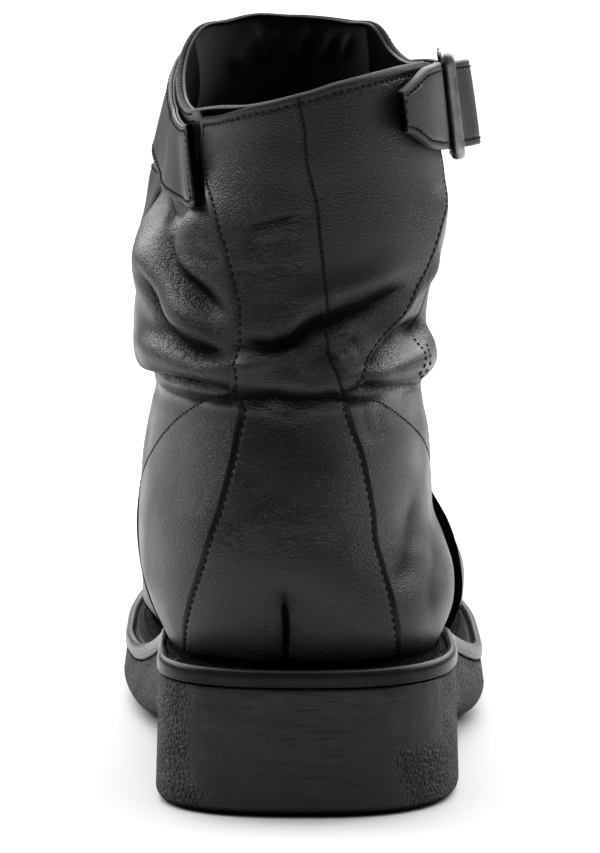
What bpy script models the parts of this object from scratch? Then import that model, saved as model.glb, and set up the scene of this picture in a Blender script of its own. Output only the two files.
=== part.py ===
"""Right ankle boot: a slouched leather upper on a crepe sole unit, with a buckled collar strap.

The upper is one surface function of two numbers: a level (0 at the feather line, rising to the
collar) and a turn (0 at the back, positive round the outer side, 180 degrees at the front).
Every overlay, strap and edge is worked out from that one function.
All sizes are in millimetres and become metres when a mesh is made.
Axes: +Y from heel to toe, +X to the outer side, +Z up. The origin is on the floor under the heel.
"""

import math
from collections import namedtuple

import bmesh
import bpy
import numpy as np

METRES = 0.001
INNER, OUTER = 0, 1

# Driving sizes of the sole unit; pairs are the inner and the outer side
SOLE_BACK_Y = -36.0
SOLE_TOE_Y = 249.0
HEEL_HALF = (36.4, 37.0)
WAIST_HALF = (36.6, 36.2)
BALL_HALF = (49.4, 47.4)
HEEL_STATION = 0.13
WAIST_STATION = (0.25, 0.26)
BALL_STATION = (0.58, 0.50)
BACK_ROUND = (0.105, 0.147)
TOE_ROUND = (0.36, 0.38)
BACK_POWER = 2.5
TOE_POWER = 2.3
TOE_INWARD = 2.0
HEEL_SEAT_Z = 31.3
FOREFOOT_Z = 15.3
TOE_SPRING = 9.0
HEEL_BREAST_Y = 40.0
BREAST_RUN = 3.0
ARCH_RISE = 8.0
ARCH_START_Y = 22.0
ARCH_END_Y = 104.0
SPRING_START_Y = 168.0
SPRING_POWER = 1.7
SOLE_FLARE = 0.9
HEEL_EDGE_ROUND = 4.2
FOREFOOT_EDGE_ROUND = 8.5
SOLE_END_LIFT = 0.8

# Driving sizes of the welt, insole and leather
WELT_HEIGHT = 5.0
WELT_OVERHANG = 0.5
WELT_LIP = 2.6
LEDGE_DROP = 0.8
GAP = 0.3
WELT_GAP = 0.8
INSOLE_GAP = 1.2
WALL = 2.0
INSOLE_THICK = 3.0
PANEL_THICK = 1.3
VAMP_THICK = 2.2

# Driving sizes of the collar strap and its buckle
STRAP_THICK = 2.0
STRAP_TIP_HALF = 4.8
STRAP_TIP_RUN = 16.0
STRAP_TIP_POWER = 1.6
NEAR_BAR_ROUND = 278.0
FAR_BAR_ROUND = 261.0
NEAR_BAR_RADIUS = 1.5
FAR_BAR_RADIUS = 1.2
SIDE_BAR_RADIUS = 0.95
BUCKLE_CLEAR = 0.65
BUCKLE_CORNER = 2.4

# Sections of the upper from the feather line to the collar: back point, front point,
# half widths at heel, waist and ball, and the sideways lean of the middle at the back and the front
Section = namedtuple("Section", "back_z back_y front_y front_z heel waist ball lean front_lean")
SECTIONS = [
    Section(31.6, -25.0, 240.0, 23.0, 32.2, 31.0, 41.2, -0.9, -0.5),
    Section(37.3, -27.0, 241.5, 30.3, 34.4, 33.6, 42.6, -0.7, -0.5),
    Section(44.3, -29.5, 240.5, 39.8, 37.8, 37.6, 42.8, -1.0, -0.6),
    Section(51.3, -31.0, 236.0, 48.8, 39.4, 38.8, 41.0, -2.2, -3.0),
    Section(58.3, -32.0, 226.0, 57.3, 39.1, 38.2, 38.6, -3.8, -5.0),
    Section(65.3, -32.0, 209.0, 64.3, 38.2, 37.2, 36.2, -5.2, -6.4),
    Section(72.3, -31.0, 187.0, 70.8, 38.0, 37.2, 34.4, -5.2, -6.4),
    Section(79.3, -29.5, 163.0, 77.8, 37.3, 37.0, 32.8, -5.0, -6.0),
    Section(86.3, -27.5, 140.0, 85.3, 36.3, 36.1, 31.4, -4.7, -5.6),
    Section(92.3, -26.0, 123.0, 93.3, 34.5, 34.8, 29.8, -4.8, -5.2),
    Section(97.3, -25.5, 112.0, 100.8, 33.8, 34.2, 29.4, -4.5, -4.8),
    Section(100.8, -28.0, 104.5, 107.8, 37.4, 38.0, 33.4, -5.0, -5.0),
    Section(104.8, -30.5, 99.5, 113.8, 38.4, 38.6, 35.0, -5.8, -5.8),
    Section(110.3, -30.5, 95.5, 120.3, 37.4, 37.2, 35.4, -6.7, -6.4),
    Section(116.3, -29.0, 91.5, 127.8, 37.0, 37.2, 35.8, -6.4, -6.2),
    Section(123.3, -28.0, 87.5, 136.8, 37.8, 38.1, 36.8, -5.2, -5.4),
    Section(131.3, -27.5, 84.0, 146.3, 38.8, 39.1, 37.8, -4.0, -4.6),
    Section(140.3, -27.5, 81.0, 156.3, 38.2, 38.4, 37.8, -2.8, -4.2),
    Section(149.3, -27.5, 78.5, 165.3, 33.6, 33.6, 34.4, -0.2, -3.4),
    Section(157.3, -28.0, 77.0, 173.8, 30.6, 30.6, 30.8, 0.7, -3.4),
    Section(165.3, -28.0, 76.0, 182.3, 29.8, 29.8, 30.2, 0.9, -3.6),
    Section(173.3, -28.0, 75.0, 190.3, 30.6, 30.6, 30.4, -0.2, -4.6),
]
TOP = len(SECTIONS) - 1
UPPER_STATIONS = (0.17, 0.42, 0.68)
FOOT_SHAPE_ENDS_AT = 10
FOOT_BACK_ROUND = 0.15
FOOT_TOE_ROUND = 0.34
FOOT_POWER = 2.25
SHAFT_POWER = 2.15
FEATHER_CURVE_ENDS_AT = 7
COLLAR_SHAPE_FROM = 17

# How much higher than its own slanted plane the collar stands, by turn from the back
CollarRise = namedtuple("CollarRise", "turn rise")
COLLAR_RISE = [
    CollarRise(-180.0, -0.6),
    CollarRise(-165.0, 0.0),
    CollarRise(-150.0, -0.6),
    CollarRise(-130.0, -0.6),
    CollarRise(-120.0, -3.0),
    CollarRise(-110.0, -6.0),
    CollarRise(-100.0, -8.5),
    CollarRise(-90.0, -10.5),
    CollarRise(-80.0, -11.2),
    CollarRise(-70.0, -10.8),
    CollarRise(-62.0, -9.2),
    CollarRise(-45.0, -6.0),
    CollarRise(-25.0, -3.4),
    CollarRise(0.0, 0.8),
    CollarRise(10.0, 2.6),
    CollarRise(20.0, 3.5),
    CollarRise(30.0, 3.9),
    CollarRise(45.0, 3.7),
    CollarRise(70.0, 1.2),
    CollarRise(90.0, -2.4),
    CollarRise(100.0, -4.0),
    CollarRise(110.0, -4.6),
    CollarRise(120.0, -3.6),
    CollarRise(130.0, -0.2),
    CollarRise(150.0, -0.6),
    CollarRise(180.0, -0.6),
]

# Main slouch folds: each runs through three points of turn and height
Fold = namedtuple("Fold", "turn_a turn_b turn_c z_a z_b z_c half_width height")
FOLDS = {
    "roll_trough": Fold(-80.0, -24.0, 50.0, 124.3, 109.8, 123.3, 5.5, -2.4),
    "medial_drape": Fold(-66.0, -36.0, -12.0, 143.3, 125.3, 117.3, 5.0, -2.2),
    "medial_drape_ridge": Fold(-90.0, -48.0, -16.0, 135.3, 120.3, 113.8, 5.5, 1.6),
    "outer_trough": Fold(32.0, 52.0, 80.0, 105.8, 110.3, 115.3, 4.5, -2.0),
    "strap_cinch": Fold(-112.0, -74.0, -36.0, 154.0, 147.0, 145.5, 8.0, -6.4),
    "front_trough": Fold(120.0, 180.0, 240.0, 119.3, 125.3, 119.3, 6.0, -2.2),
    "front_roll": Fold(110.0, 180.0, 250.0, 129.3, 137.3, 129.3, 7.0, 2.0),
}

# Edges of the two overlays on the back, by level: turn of the inner edge and of the outer edge
Edge = namedtuple("Edge", "level inner outer")
BACK_STAY = [
    Edge(0.9, -29.5, 21.0),
    Edge(2.4, -26.0, 20.5),
    Edge(4.4, -22.0, 24.0),
    Edge(6.0, -20.0, 26.5),
    Edge(7.5, -19.0, 26.5),
    Edge(9.0, -18.5, 25.0),
    Edge(10.45, -18.0, 22.0),
]
SHAFT_PANEL = [
    Edge(10.75, -18.0, 21.8),
    Edge(11.2, -18.0, 23.5),
    Edge(12.5, -17.0, 32.0),
    Edge(13.8, -16.0, 43.0),
    Edge(14.8, -17.0, 50.0),
    Edge(16.0, -21.5, 56.5),
    Edge(16.8, -25.7, 61.5),
    Edge(17.5, -33.0, 70.0),
    Edge(18.0, -40.0, 76.0),
    Edge(18.5, -47.5, 80.5),
    Edge(19.2, -54.5, 83.5),
    Edge(20.0, -58.0, 84.6),
    Edge(20.5, -55.5, 85.3),
    Edge(21.0, -52.5, 86.0),
]

# Back edge of the vamp as a line in the side view
VampEdge = namedtuple("VampEdge", "z y")
VAMP_EDGE = [
    VampEdge(22.3, 60.0),
    VampEdge(32.3, 68.0),
    VampEdge(43.3, 80.0),
    VampEdge(56.3, 94.0),
    VampEdge(72.3, 106.0),
    VampEdge(88.3, 112.0),
    VampEdge(102.3, 114.0),
]
VAMP_BOTTOM = 0.9
VAMP_TOP = 8.4
SHAFT_SIDE_TURN = 118.0

# The strap's way round the boot, in degrees from the back over the inner side and the front to the
# outer side: how far its inner face stands off the upper, how far its top is below the collar, its
# width and how much closer to the boot its lower edge is
StrapRow = namedtuple("StrapRow", "round away drop width lean")
STRAP_PATH = [
    StrapRow(62.0, 1.1, 3.4, 19.0, 0.0),
    StrapRow(74.0, 0.6, 3.4, 19.0, 0.0),
    StrapRow(90.0, 0.5, 3.4, 19.0, 0.0),
    StrapRow(104.0, 0.4, 2.6, 19.4, 0.0),
    StrapRow(120.0, 0.4, 3.0, 20.2, 0.0),
    StrapRow(150.0, 0.6, 8.0, 21.0, 0.0),
    StrapRow(180.0, 0.8, 10.4, 21.0, 0.0),
    StrapRow(200.0, 2.6, 10.4, 21.0, 0.0),
    StrapRow(213.0, 5.6, 10.8, 21.0, 0.6),
    StrapRow(225.0, 9.4, 9.8, 21.0, 1.4),
    StrapRow(236.0, 13.4, 6.4, 21.0, 2.4),
    StrapRow(246.0, 15.6, 2.0, 21.0, 2.4),
    StrapRow(254.0, 13.2, 0.4, 21.0, 1.8),
    StrapRow(262.0, 6.8, 0.4, 20.8, 0.8),
    StrapRow(270.0, 3.6, 0.4, 20.6, 0.0),
    StrapRow(278.0, 2.0, 0.4, 20.6, 0.0),
    StrapRow(286.0, 1.9, 0.4, 20.4, 0.0),
    StrapRow(298.0, 2.6, 0.4, 19.6, 0.0),
    StrapRow(310.0, 3.2, 0.6, 18.0, 0.0),
    StrapRow(318.0, 3.6, 1.2, 16.6, 0.0),
    StrapRow(327.0, 4.2, 2.0, 15.0, 0.0),
]
STRAP_END_SKEW = 26.0
STRAP_SKEW_RUN = 34.0

# Grid of the upper: columns across the vamp's half, the side and the back, and levels of both faces
VAMP_COLUMNS = 16
SIDE_COLUMNS = 9
BACK_COLUMNS = 11
OUTER_LEVELS = (
    [0.0, 0.9, 1.7, 2.5, 3.3, 4.1, 4.9, 5.7, 6.6, 7.5, 8.4, 9.1]
    + [9.8, 10.2, 10.45, 10.75, 11.2, 11.7, 12.5, 13.2, 14.0, 14.8]
    + [15.6, 16.5, 17.4, 18.2, 19.0, 20.0, 21.0]
)
INNER_LEVELS = (
    [0.0, 0.9, 2.5, 4.1, 5.7, 7.5, 9.1, 9.8, 10.5, 11.3]
    + [12.5, 14.0, 15.6, 17.4, 19.0, 21.0]
)

# Colours of the leather, rubber and metal
BLACK_LEATHER = (0.018, 0.018, 0.019)
CREPE = (0.014, 0.014, 0.015)
RAND = (0.022, 0.022, 0.023)
LINING = (0.012, 0.012, 0.012)
GUNMETAL = (0.09, 0.09, 0.095)


def smooth(share):
    """0 to 1 with level ends."""
    share = min(1.0, max(0.0, share))
    return share * share * (3.0 - 2.0 * share)


def mix(first, second, share):
    """The value this share of the way from first to second."""
    return first + (second - first) * share


def spaced(first, last, count):
    """Evenly spaced values, ends included."""
    return [mix(first, last, i / (count - 1)) for i in range(count)]


def along(rows, at):
    """The other columns of a table, read where its first column equals `at`."""
    low = 0
    while low < len(rows) - 2 and rows[low + 1][0] < at:
        low += 1
    first, second = rows[low], rows[low + 1]
    share = min(1.0, max(0.0, (at - first[0]) / (second[0] - first[0])))
    return [mix(a, b, share) for a, b in zip(first[1:], second[1:])]


def section_at(level):
    """The section at a level between rows, on a smooth curve through the rows."""
    low = min(TOP - 1, max(0, int(math.floor(level))))
    share = level - low
    rows = [SECTIONS[min(TOP, max(0, low + step))] for step in (-1, 0, 1, 2)]
    columns = []
    for before, first, second, after in zip(*rows):
        bend_a = (second - before) / 2.0
        bend_b = (after - first) / 2.0
        cube = 2.0 * first - 2.0 * second + bend_a + bend_b
        square = 3.0 * second - 3.0 * first - 2.0 * bend_a - bend_b
        columns.append(((cube * share + square) * share + bend_a) * share + first)
    return Section(*columns)


def rounded(share, length, power):
    """Share of the full width left at this distance into a rounded end."""
    if share >= length:
        return 1.0
    return (1.0 - (1.0 - max(0.0, share) / length) ** power) ** (1.0 / power)


def body_width(share, stations, widths):
    """Half width between the heel, waist and ball stations."""
    heel_at, waist_at, ball_at = stations
    heel, waist, ball = widths
    if share < waist_at:
        return mix(heel, waist, smooth((share - heel_at) / (waist_at - heel_at)))
    return mix(waist, ball, smooth((share - waist_at) / (ball_at - waist_at)))


def toe_spring(y):
    """Lift of the sole towards the toe."""
    return TOE_SPRING * max(0.0, (y - SPRING_START_Y) / (SOLE_TOE_Y - SPRING_START_Y)) ** SPRING_POWER


def sole_top(y):
    """Height of the sole unit's upper face: heel seat, arch slope, forefoot and toe spring."""
    slope = smooth((y - ARCH_START_Y) / (ARCH_END_Y - ARCH_START_Y))
    return mix(HEEL_SEAT_Z, FOREFOOT_Z, slope) + toe_spring(y)


def sole_bottom(y):
    """Height of the sole unit's under face: flat heel, breast, arch, flat forefoot and toe spring."""
    breast = min(1.0, max(0.0, (y - HEEL_BREAST_Y) / BREAST_RUN))
    arch_start = HEEL_BREAST_Y + BREAST_RUN
    arch = 1.0 - smooth((y - arch_start) / (ARCH_END_Y - arch_start))
    return ARCH_RISE * arch * breast + toe_spring(y)


def toe_shift(y):
    """Sideways curve of the foot's middle line: the toe turns towards the inner side."""
    return -TOE_INWARD * smooth((y - 120.0) / (SOLE_TOE_Y - 120.0))


def sole_half(y, side):
    """Half width of the sole unit at y on one side."""
    share = (y - SOLE_BACK_Y) / (SOLE_TOE_Y - SOLE_BACK_Y)
    stations = (HEEL_STATION, WAIST_STATION[side], BALL_STATION[side])
    body = body_width(share, stations, (HEEL_HALF[side], WAIST_HALF[side], BALL_HALF[side]))
    back = rounded(share, BACK_ROUND[side], BACK_POWER)
    return body * back * rounded(1.0 - share, TOE_ROUND[side], TOE_POWER)


def fold_push(turn, z):
    """How far the slouch folds push the leather out at this turn and height."""
    push = 0.0
    for fold in FOLDS.values():
        span = fold.turn_c - fold.turn_a
        share = ((turn - fold.turn_a) % 360.0) / span
        if share >= 1.0:
            continue
        at_b = (fold.turn_b - fold.turn_a) / span
        line = (
            fold.z_a * (share - at_b) * (share - 1.0) / at_b
            + fold.z_b * share * (share - 1.0) / (at_b * (at_b - 1.0))
            + fold.z_c * share * (share - at_b) / (1.0 - at_b)
        )
        fade = smooth(min(share, 1.0 - share) / 0.3)
        push += fold.height * fade * math.exp(-(((z - line) / fold.half_width) ** 2))
    return push


def bare_point(level, turn):
    """A point of the upper's outer face before the folds."""
    row = section_at(level)
    angle = math.radians(turn)
    share = (1.0 - math.cos(angle)) / 2.0
    sign = 1.0 if math.sin(angle) >= 0.0 else -1.0
    foot = 1.0 - smooth(level / FOOT_SHAPE_ENDS_AT)
    power = mix(SHAFT_POWER, FOOT_POWER, foot)
    y = mix(row.back_y, row.front_y, share)
    half = body_width(share, UPPER_STATIONS, (row.heel, row.waist, row.ball))
    half *= rounded(share, mix(0.5, FOOT_BACK_ROUND, foot), power)
    half *= rounded(1.0 - share, mix(0.5, FOOT_TOE_ROUND, foot), power)
    feather = sole_top(y) + GAP - mix(SECTIONS[0].back_z, SECTIONS[0].front_z, share)
    z = mix(row.back_z, row.front_z, share)
    z += feather * max(0.0, 1.0 - level / FEATHER_CURVE_ENDS_AT)
    collar = smooth((level - COLLAR_SHAPE_FROM) / (TOP - COLLAR_SHAPE_FROM))
    z += collar * along(COLLAR_RISE, (turn + 180.0) % 360.0 - 180.0)[0]
    lean = mix(row.lean, row.front_lean, smooth((share - 0.25) / 0.6))
    return np.array((lean + toe_shift(y) + sign * half, y, z))


def face_normal(point_at, level, turn):
    """Outward normal of a surface function by small steps."""
    rise = point_at(min(TOP, level + 0.05), turn) - point_at(max(0.0, level - 0.05), turn)
    run = point_at(level, turn + 1.0) - point_at(level, turn - 1.0)
    normal = np.cross(run, rise)
    return normal / np.linalg.norm(normal)


def outer_point(level, turn):
    """A point of the upper's outer face, folds included."""
    bare = bare_point(level, turn)
    push = fold_push(turn, bare[2])
    if push == 0.0:
        return bare
    return bare + push * face_normal(bare_point, level, turn)


def raised_point(level, turn, height):
    """A point this far outside the upper's outer face."""
    return outer_point(level, turn) + height * face_normal(outer_point, level, turn)


def vamp_turn(level, sign):
    """The turn at which the vamp's back edge crosses a level, on the side of this sign."""
    row = section_at(min(level, VAMP_TOP))
    turn = 90.0
    for _ in range(25):
        z = bare_point(min(level, VAMP_TOP), sign * turn)[2]
        share = (along(VAMP_EDGE, z)[0] - row.back_y) / (row.front_y - row.back_y)
        turn = mix(turn, math.degrees(math.acos(1.0 - 2.0 * min(0.99, share))), 0.6)
    return mix(turn, SHAFT_SIDE_TURN, smooth((level - VAMP_TOP) / 4.0))


def grid_turns(level):
    """Turns of the upper's columns at a level, with columns on every overlay edge."""
    inner, outer = along(BACK_STAY + SHAFT_PANEL, level)
    corners = [-180.0, -vamp_turn(level, -1.0), inner, outer, vamp_turn(level, 1.0), 180.0]
    counts = [VAMP_COLUMNS, SIDE_COLUMNS, BACK_COLUMNS, SIDE_COLUMNS, VAMP_COLUMNS]
    turns = []
    for first, second, count in zip(corners, corners[1:], counts):
        turns += spaced(first, second, count + 1)[:-1]
    return turns


def finish_of(name, colour, roughness, metallic):
    """A plain finish for one piece."""
    finish = bpy.data.materials.new(name + "_finish")
    finish.use_nodes = True
    shader = finish.node_tree.nodes["Principled BSDF"]
    shader.inputs["Base Color"].default_value = (*colour, 1.0)
    shader.inputs["Roughness"].default_value = roughness
    shader.inputs["Metallic"].default_value = metallic
    return finish


def add_piece(name, rings, colour, roughness, metallic=0.0, capped=True):
    """A piece from closed rings of points, each joined to the next.

    A capped piece has its first and last rings filled; any other has its last ring joined to its first.
    """
    body = bmesh.new()
    lines = [[body.verts.new(np.asarray(point) * METRES) for point in ring] for ring in rings]
    pairs = list(zip(lines, lines[1:]))
    if capped:
        body.faces.new(lines[0])
        body.faces.new(lines[-1])
    else:
        pairs.append((lines[-1], lines[0]))
    count = len(lines[0])
    for first, second in pairs:
        for i in range(count):
            j = (i + 1) % count
            body.faces.new((first[i], first[j], second[j]))
            body.faces.new((first[i], second[j], second[i]))
    bmesh.ops.recalc_face_normals(body, faces=body.faces)
    mesh = bpy.data.meshes.new(name)
    body.to_mesh(mesh)
    body.free()
    mesh.shade_smooth()
    mesh.set_sharp_from_angle(angle=math.radians(40.0))
    mesh.materials.append(finish_of(name, colour, roughness, metallic))
    bpy.context.scene.collection.objects.link(bpy.data.objects.new(name, mesh))


def build_upper():
    """The hollow upper: outer face, collar rim, inner face and feather edge in one closed skin."""
    rings = [[outer_point(level, turn) for turn in grid_turns(level)] for level in OUTER_LEVELS]
    for level in reversed(INNER_LEVELS):
        rings.append([raised_point(level, turn, -WALL) for turn in grid_turns(level)])
    add_piece("upper", rings, BLACK_LEATHER, 0.5, capped=False)


def build_overlay(name, first_level, last_level, columns, thick):
    """A leather overlay on some of the upper's columns between two levels."""
    rings = []
    for level in OUTER_LEVELS:
        if first_level <= level <= last_level:
            turns = grid_turns(level)
            turns = [turns[column % len(turns)] for column in columns]
            under = [raised_point(level, turn, GAP) for turn in turns]
            face = [raised_point(level, turn, GAP + thick) for turn in reversed(turns)]
            rings.append(under + face)
    add_piece(name, rings, BLACK_LEATHER, 0.5)


def build_overlays():
    """The heel's tapered back stay, the shaft's wrapped back panel and the vamp."""
    back_start = VAMP_COLUMNS + SIDE_COLUMNS
    back = range(back_start, back_start + BACK_COLUMNS + 1)
    build_overlay("back_stay", BACK_STAY[0].level, BACK_STAY[-1].level, back, PANEL_THICK)
    build_overlay("shaft_back_panel", SHAFT_PANEL[0].level, SHAFT_PANEL[-1].level, back, PANEL_THICK)
    vamp = range(-VAMP_COLUMNS, VAMP_COLUMNS + 1)
    build_overlay("vamp", VAMP_BOTTOM, VAMP_TOP, vamp, VAMP_THICK)


def build_sole():
    """The crepe sole unit as cross sections from the heel's back to the toe."""
    stations = [SOLE_BACK_Y + into for into in (0.15, 0.8, 2.2, 4.5, 8.0, 13.0, 20.0)]
    stations += spaced(SOLE_BACK_Y + 29.0, HEEL_BREAST_Y, 7)
    stations += [HEEL_BREAST_Y + BREAST_RUN]
    stations += spaced(HEEL_BREAST_Y + 9.0, 200.0, 18)
    stations += [SOLE_TOE_Y - into for into in (38.0, 28.0, 20.0, 13.0, 8.0, 4.5, 2.2, 0.8, 0.15)]
    rings = []
    for y in stations:
        near_end = min(y - SOLE_BACK_Y, SOLE_TOE_Y - y)
        low = sole_bottom(y) + SOLE_END_LIFT * (1.0 - smooth(near_end / HEEL_EDGE_ROUND))
        edge_round = mix(HEEL_EDGE_ROUND, FOREFOOT_EDGE_ROUND, smooth((y - HEEL_BREAST_Y) / 40.0))
        ring = []
        for side, sign in ((INNER, -1.0), (OUTER, 1.0)):
            half = sole_half(y, side)
            wide = half + SOLE_FLARE * min(1.0, half / 10.0)
            corner = min(edge_round, 0.8 * half)
            profile = [
                (half, sole_top(y)),
                (wide, low + corner),
                (wide - 0.12 * corner, low + 0.5 * corner),
                (wide - 0.45 * corner, low + 0.14 * corner),
                (wide - corner, low),
            ]
            points = [(toe_shift(y) + sign * across, y, up) for across, up in profile]
            ring += points if side == INNER else list(reversed(points))
        rings.append(ring)
    add_piece("sole_unit", rings, CREPE, 0.75)


def sole_edge(turn):
    """A point of the sole unit's outline and the direction out of it, by turn from the back."""

    def place(at):
        angle = math.radians(at)
        y = mix(SOLE_BACK_Y, SOLE_TOE_Y, (1.0 - math.cos(angle)) / 2.0)
        side = OUTER if math.sin(angle) >= 0.0 else INNER
        sign = 1.0 if side == OUTER else -1.0
        return np.array((toe_shift(y) + sign * sole_half(y, side), y))

    run = place(turn + 0.6) - place(turn - 0.6)
    out = np.array((run[1], -run[0]))
    return place(turn), out / np.linalg.norm(out)


def build_welt():
    """The smooth rand round the sole's edge with a lower rough ledge up to the upper."""
    rings = []
    for turn in spaced(0.0, 360.0, 81)[:-1]:
        edge, out = sole_edge(turn)
        base = sole_top(edge[1]) + GAP
        ledge = base + WELT_HEIGHT - LEDGE_DROP
        inner_low = raised_point(0.0, turn, WELT_GAP)
        inner_high = raised_point(0.75, turn, WELT_GAP)
        room = np.dot(edge - inner_high[:2], out)
        squeeze = min(1.0, room / (WELT_LIP + GAP))
        rim = [
            (-0.3 * squeeze, base),
            (WELT_OVERHANG, base + 0.22 * WELT_HEIGHT),
            (WELT_OVERHANG, base + 0.62 * WELT_HEIGHT),
            (-0.5 * squeeze, base + 0.93 * WELT_HEIGHT),
            (-1.5 * squeeze, base + WELT_HEIGHT),
            (-WELT_LIP * squeeze, ledge),
        ]
        ring = [(*(edge + out * outward), z) for outward, z in rim]
        ring.append((inner_high[0], inner_high[1], sole_top(inner_high[1]) + ledge - base + GAP))
        ring.append((inner_low[0], inner_low[1], sole_top(inner_low[1]) + GAP))
        rings.append(ring)
    add_piece("welt", rings, RAND, 0.4, capped=False)


def build_insole():
    """The insole inside the upper, resting just over the sole unit."""
    rings = []
    for turn in spaced(14.0, 166.0, 24):
        ring = []
        for sign in (-1.0, 1.0):
            edge = raised_point(0.1, sign * turn, -WALL - INSOLE_GAP)
            low = sole_top(edge[1]) + GAP
            ends = [(edge[0], edge[1], low), (edge[0], edge[1], low + INSOLE_THICK)]
            ring += ends if sign > 0.0 else list(reversed(ends))
        rings.append(ring)
    add_piece("insole", rings, LINING, 0.8)


def point_at_height(turn, z):
    """The point of the shaft's outer face at this turn and height."""
    low, high = COLLAR_SHAPE_FROM - 3.0, float(TOP)
    for _ in range(18):
        middle = (low + high) / 2.0
        if outer_point(middle, turn)[2] < z:
            low = middle
        else:
            high = middle
    return outer_point(high, turn)


def strap_line(round_by):
    """The strap's lower and upper inner edge points and its horizontal way out, at a way round."""
    away, drop, width, lean = along(STRAP_PATH, round_by)
    past_end = round_by - STRAP_PATH[0].round
    skew = STRAP_END_SKEW * (1.0 - smooth(past_end / STRAP_SKEW_RUN))
    top_z = outer_point(TOP, -round_by)[2] - drop
    top = point_at_height(-round_by, top_z)
    bottom = point_at_height(skew - round_by, top_z - width)
    out = face_normal(outer_point, TOP - 1.5, 0.5 * skew - round_by) * (1.0, 1.0, 0.0)
    out = out / np.linalg.norm(out)
    return bottom + out * (away - lean), top + out * away, out


def build_strap():
    """The collar strap from its sewn end round the front to the free tip past the buckle."""
    lines = [strap_line(at) for at in spaced(STRAP_PATH[0].round, STRAP_PATH[-1].round, 62)]
    to_tip = [0.0]
    for here, after in zip(reversed(lines[:-1]), reversed(lines[1:])):
        to_tip.append(to_tip[-1] + np.linalg.norm(here[0] - after[0]))
    rings = []
    for (bottom, top, out), distance in zip(lines, reversed(to_tip)):
        middle = (bottom + top) / 2.0
        half = np.linalg.norm(top - bottom) / 2.0
        opened = 1.0 - (1.0 - min(1.0, distance / STRAP_TIP_RUN)) ** STRAP_TIP_POWER
        taper = mix(STRAP_TIP_HALF / half, 1.0, opened)
        inner = [mix(middle, bottom, taper), middle, mix(middle, top, taper)]
        rings.append(inner + [point + out * STRAP_THICK for point in reversed(inner)])
    add_piece("collar_strap", rings, BLACK_LEATHER, 0.5)


def build_buckle():
    """The rectangular frame that the strap is threaded through: over its far bar, under its near bar."""
    near_low, near_top, near_out = strap_line(NEAR_BAR_ROUND)
    far_low, far_top, far_out = strap_line(FAR_BAR_ROUND)
    near = (near_low + near_top) / 2.0 + near_out * (STRAP_THICK + BUCKLE_CLEAR + NEAR_BAR_RADIUS)
    far = (far_low + far_top) / 2.0 - far_out * (BUCKLE_CLEAR + FAR_BAR_RADIUS)
    strap_half = np.linalg.norm(near_top - near_low) / 2.0
    up = (near_top - near_low) / (2.0 * strap_half)
    rise = np.dot(far - near, up)
    across = far - near - up * rise
    span = np.linalg.norm(across) / 2.0
    across = across / (2.0 * span)
    out = np.cross(across, up)
    middle = (near + far) / 2.0
    tall = strap_half + abs(rise) / 2.0 + 2.0 * GAP + SIDE_BAR_RADIUS
    path = []
    for side, end, start in ((-1.0, -1.0, 180.0), (1.0, -1.0, 270.0), (1.0, 1.0, 0.0), (-1.0, 1.0, 90.0)):
        for angle in spaced(math.radians(start), math.radians(start + 90.0), 5):
            sideways = side * (span - BUCKLE_CORNER) + BUCKLE_CORNER * math.cos(angle)
            height = end * (tall - BUCKLE_CORNER) + BUCKLE_CORNER * math.sin(angle)
            path.append((sideways, height))
    rings = []
    for i, (sideways, height) in enumerate(path):
        before, after = path[i - 1], path[(i + 1) % len(path)]
        run = np.array((after[0] - before[0], after[1] - before[1]))
        run = run / np.linalg.norm(run)
        outward = across * run[1] - up * run[0]
        bar = NEAR_BAR_RADIUS if sideways < 0.0 else FAR_BAR_RADIUS
        radius = mix(SIDE_BAR_RADIUS, bar, smooth(2.0 * abs(sideways) / span - 1.0))
        centre = middle + across * sideways + up * height
        ring = []
        for turn in spaced(0.0, 2.0 * math.pi, 9)[:-1]:
            ring.append(centre + outward * radius * math.cos(turn) + out * bar * math.sin(turn))
        rings.append(ring)
    add_piece("buckle_frame", rings, GUNMETAL, 0.3, metallic=1.0, capped=False)


def main():
    """Clears the scene and builds every piece."""
    for old in list(bpy.data.objects):
        bpy.data.objects.remove(old)
    build_sole()
    build_upper()
    build_insole()
    build_welt()
    build_overlays()
    build_strap()
    build_buckle()


main()
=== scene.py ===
"""Looks of one right ankle boot: black slouched leather, a crepe sole and a buckled strap.

The upper is one surface function of a level (0 at the feather line, rising to the collar) and a
turn (0 at the back, positive round the outer side, 180 degrees at the front). Creases are laid on
it by turn and height, and every overlay, seam and stitch is worked out from the same function.
Sizes are in millimetres and become metres when a mesh is made.
Axes: +Y from heel to toe, +X to the outer side, +Z up. The origin is on the floor under the heel.
"""

import logging
import math
from dataclasses import dataclass, field
from enum import Enum
from typing import Callable, NamedTuple

import bpy
import numpy as np
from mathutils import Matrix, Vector


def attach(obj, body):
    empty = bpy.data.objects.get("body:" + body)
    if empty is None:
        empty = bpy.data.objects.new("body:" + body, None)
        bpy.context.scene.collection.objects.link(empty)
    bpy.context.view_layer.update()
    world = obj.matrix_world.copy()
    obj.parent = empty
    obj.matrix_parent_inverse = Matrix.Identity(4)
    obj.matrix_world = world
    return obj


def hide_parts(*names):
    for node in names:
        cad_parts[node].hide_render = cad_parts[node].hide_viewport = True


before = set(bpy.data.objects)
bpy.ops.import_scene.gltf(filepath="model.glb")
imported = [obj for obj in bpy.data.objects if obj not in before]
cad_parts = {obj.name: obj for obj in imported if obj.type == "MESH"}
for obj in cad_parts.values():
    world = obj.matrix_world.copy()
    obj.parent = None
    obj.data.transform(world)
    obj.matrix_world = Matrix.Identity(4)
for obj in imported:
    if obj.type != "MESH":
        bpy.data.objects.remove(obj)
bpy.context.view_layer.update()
LOG = logging.getLogger("ankle_boot")

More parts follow.
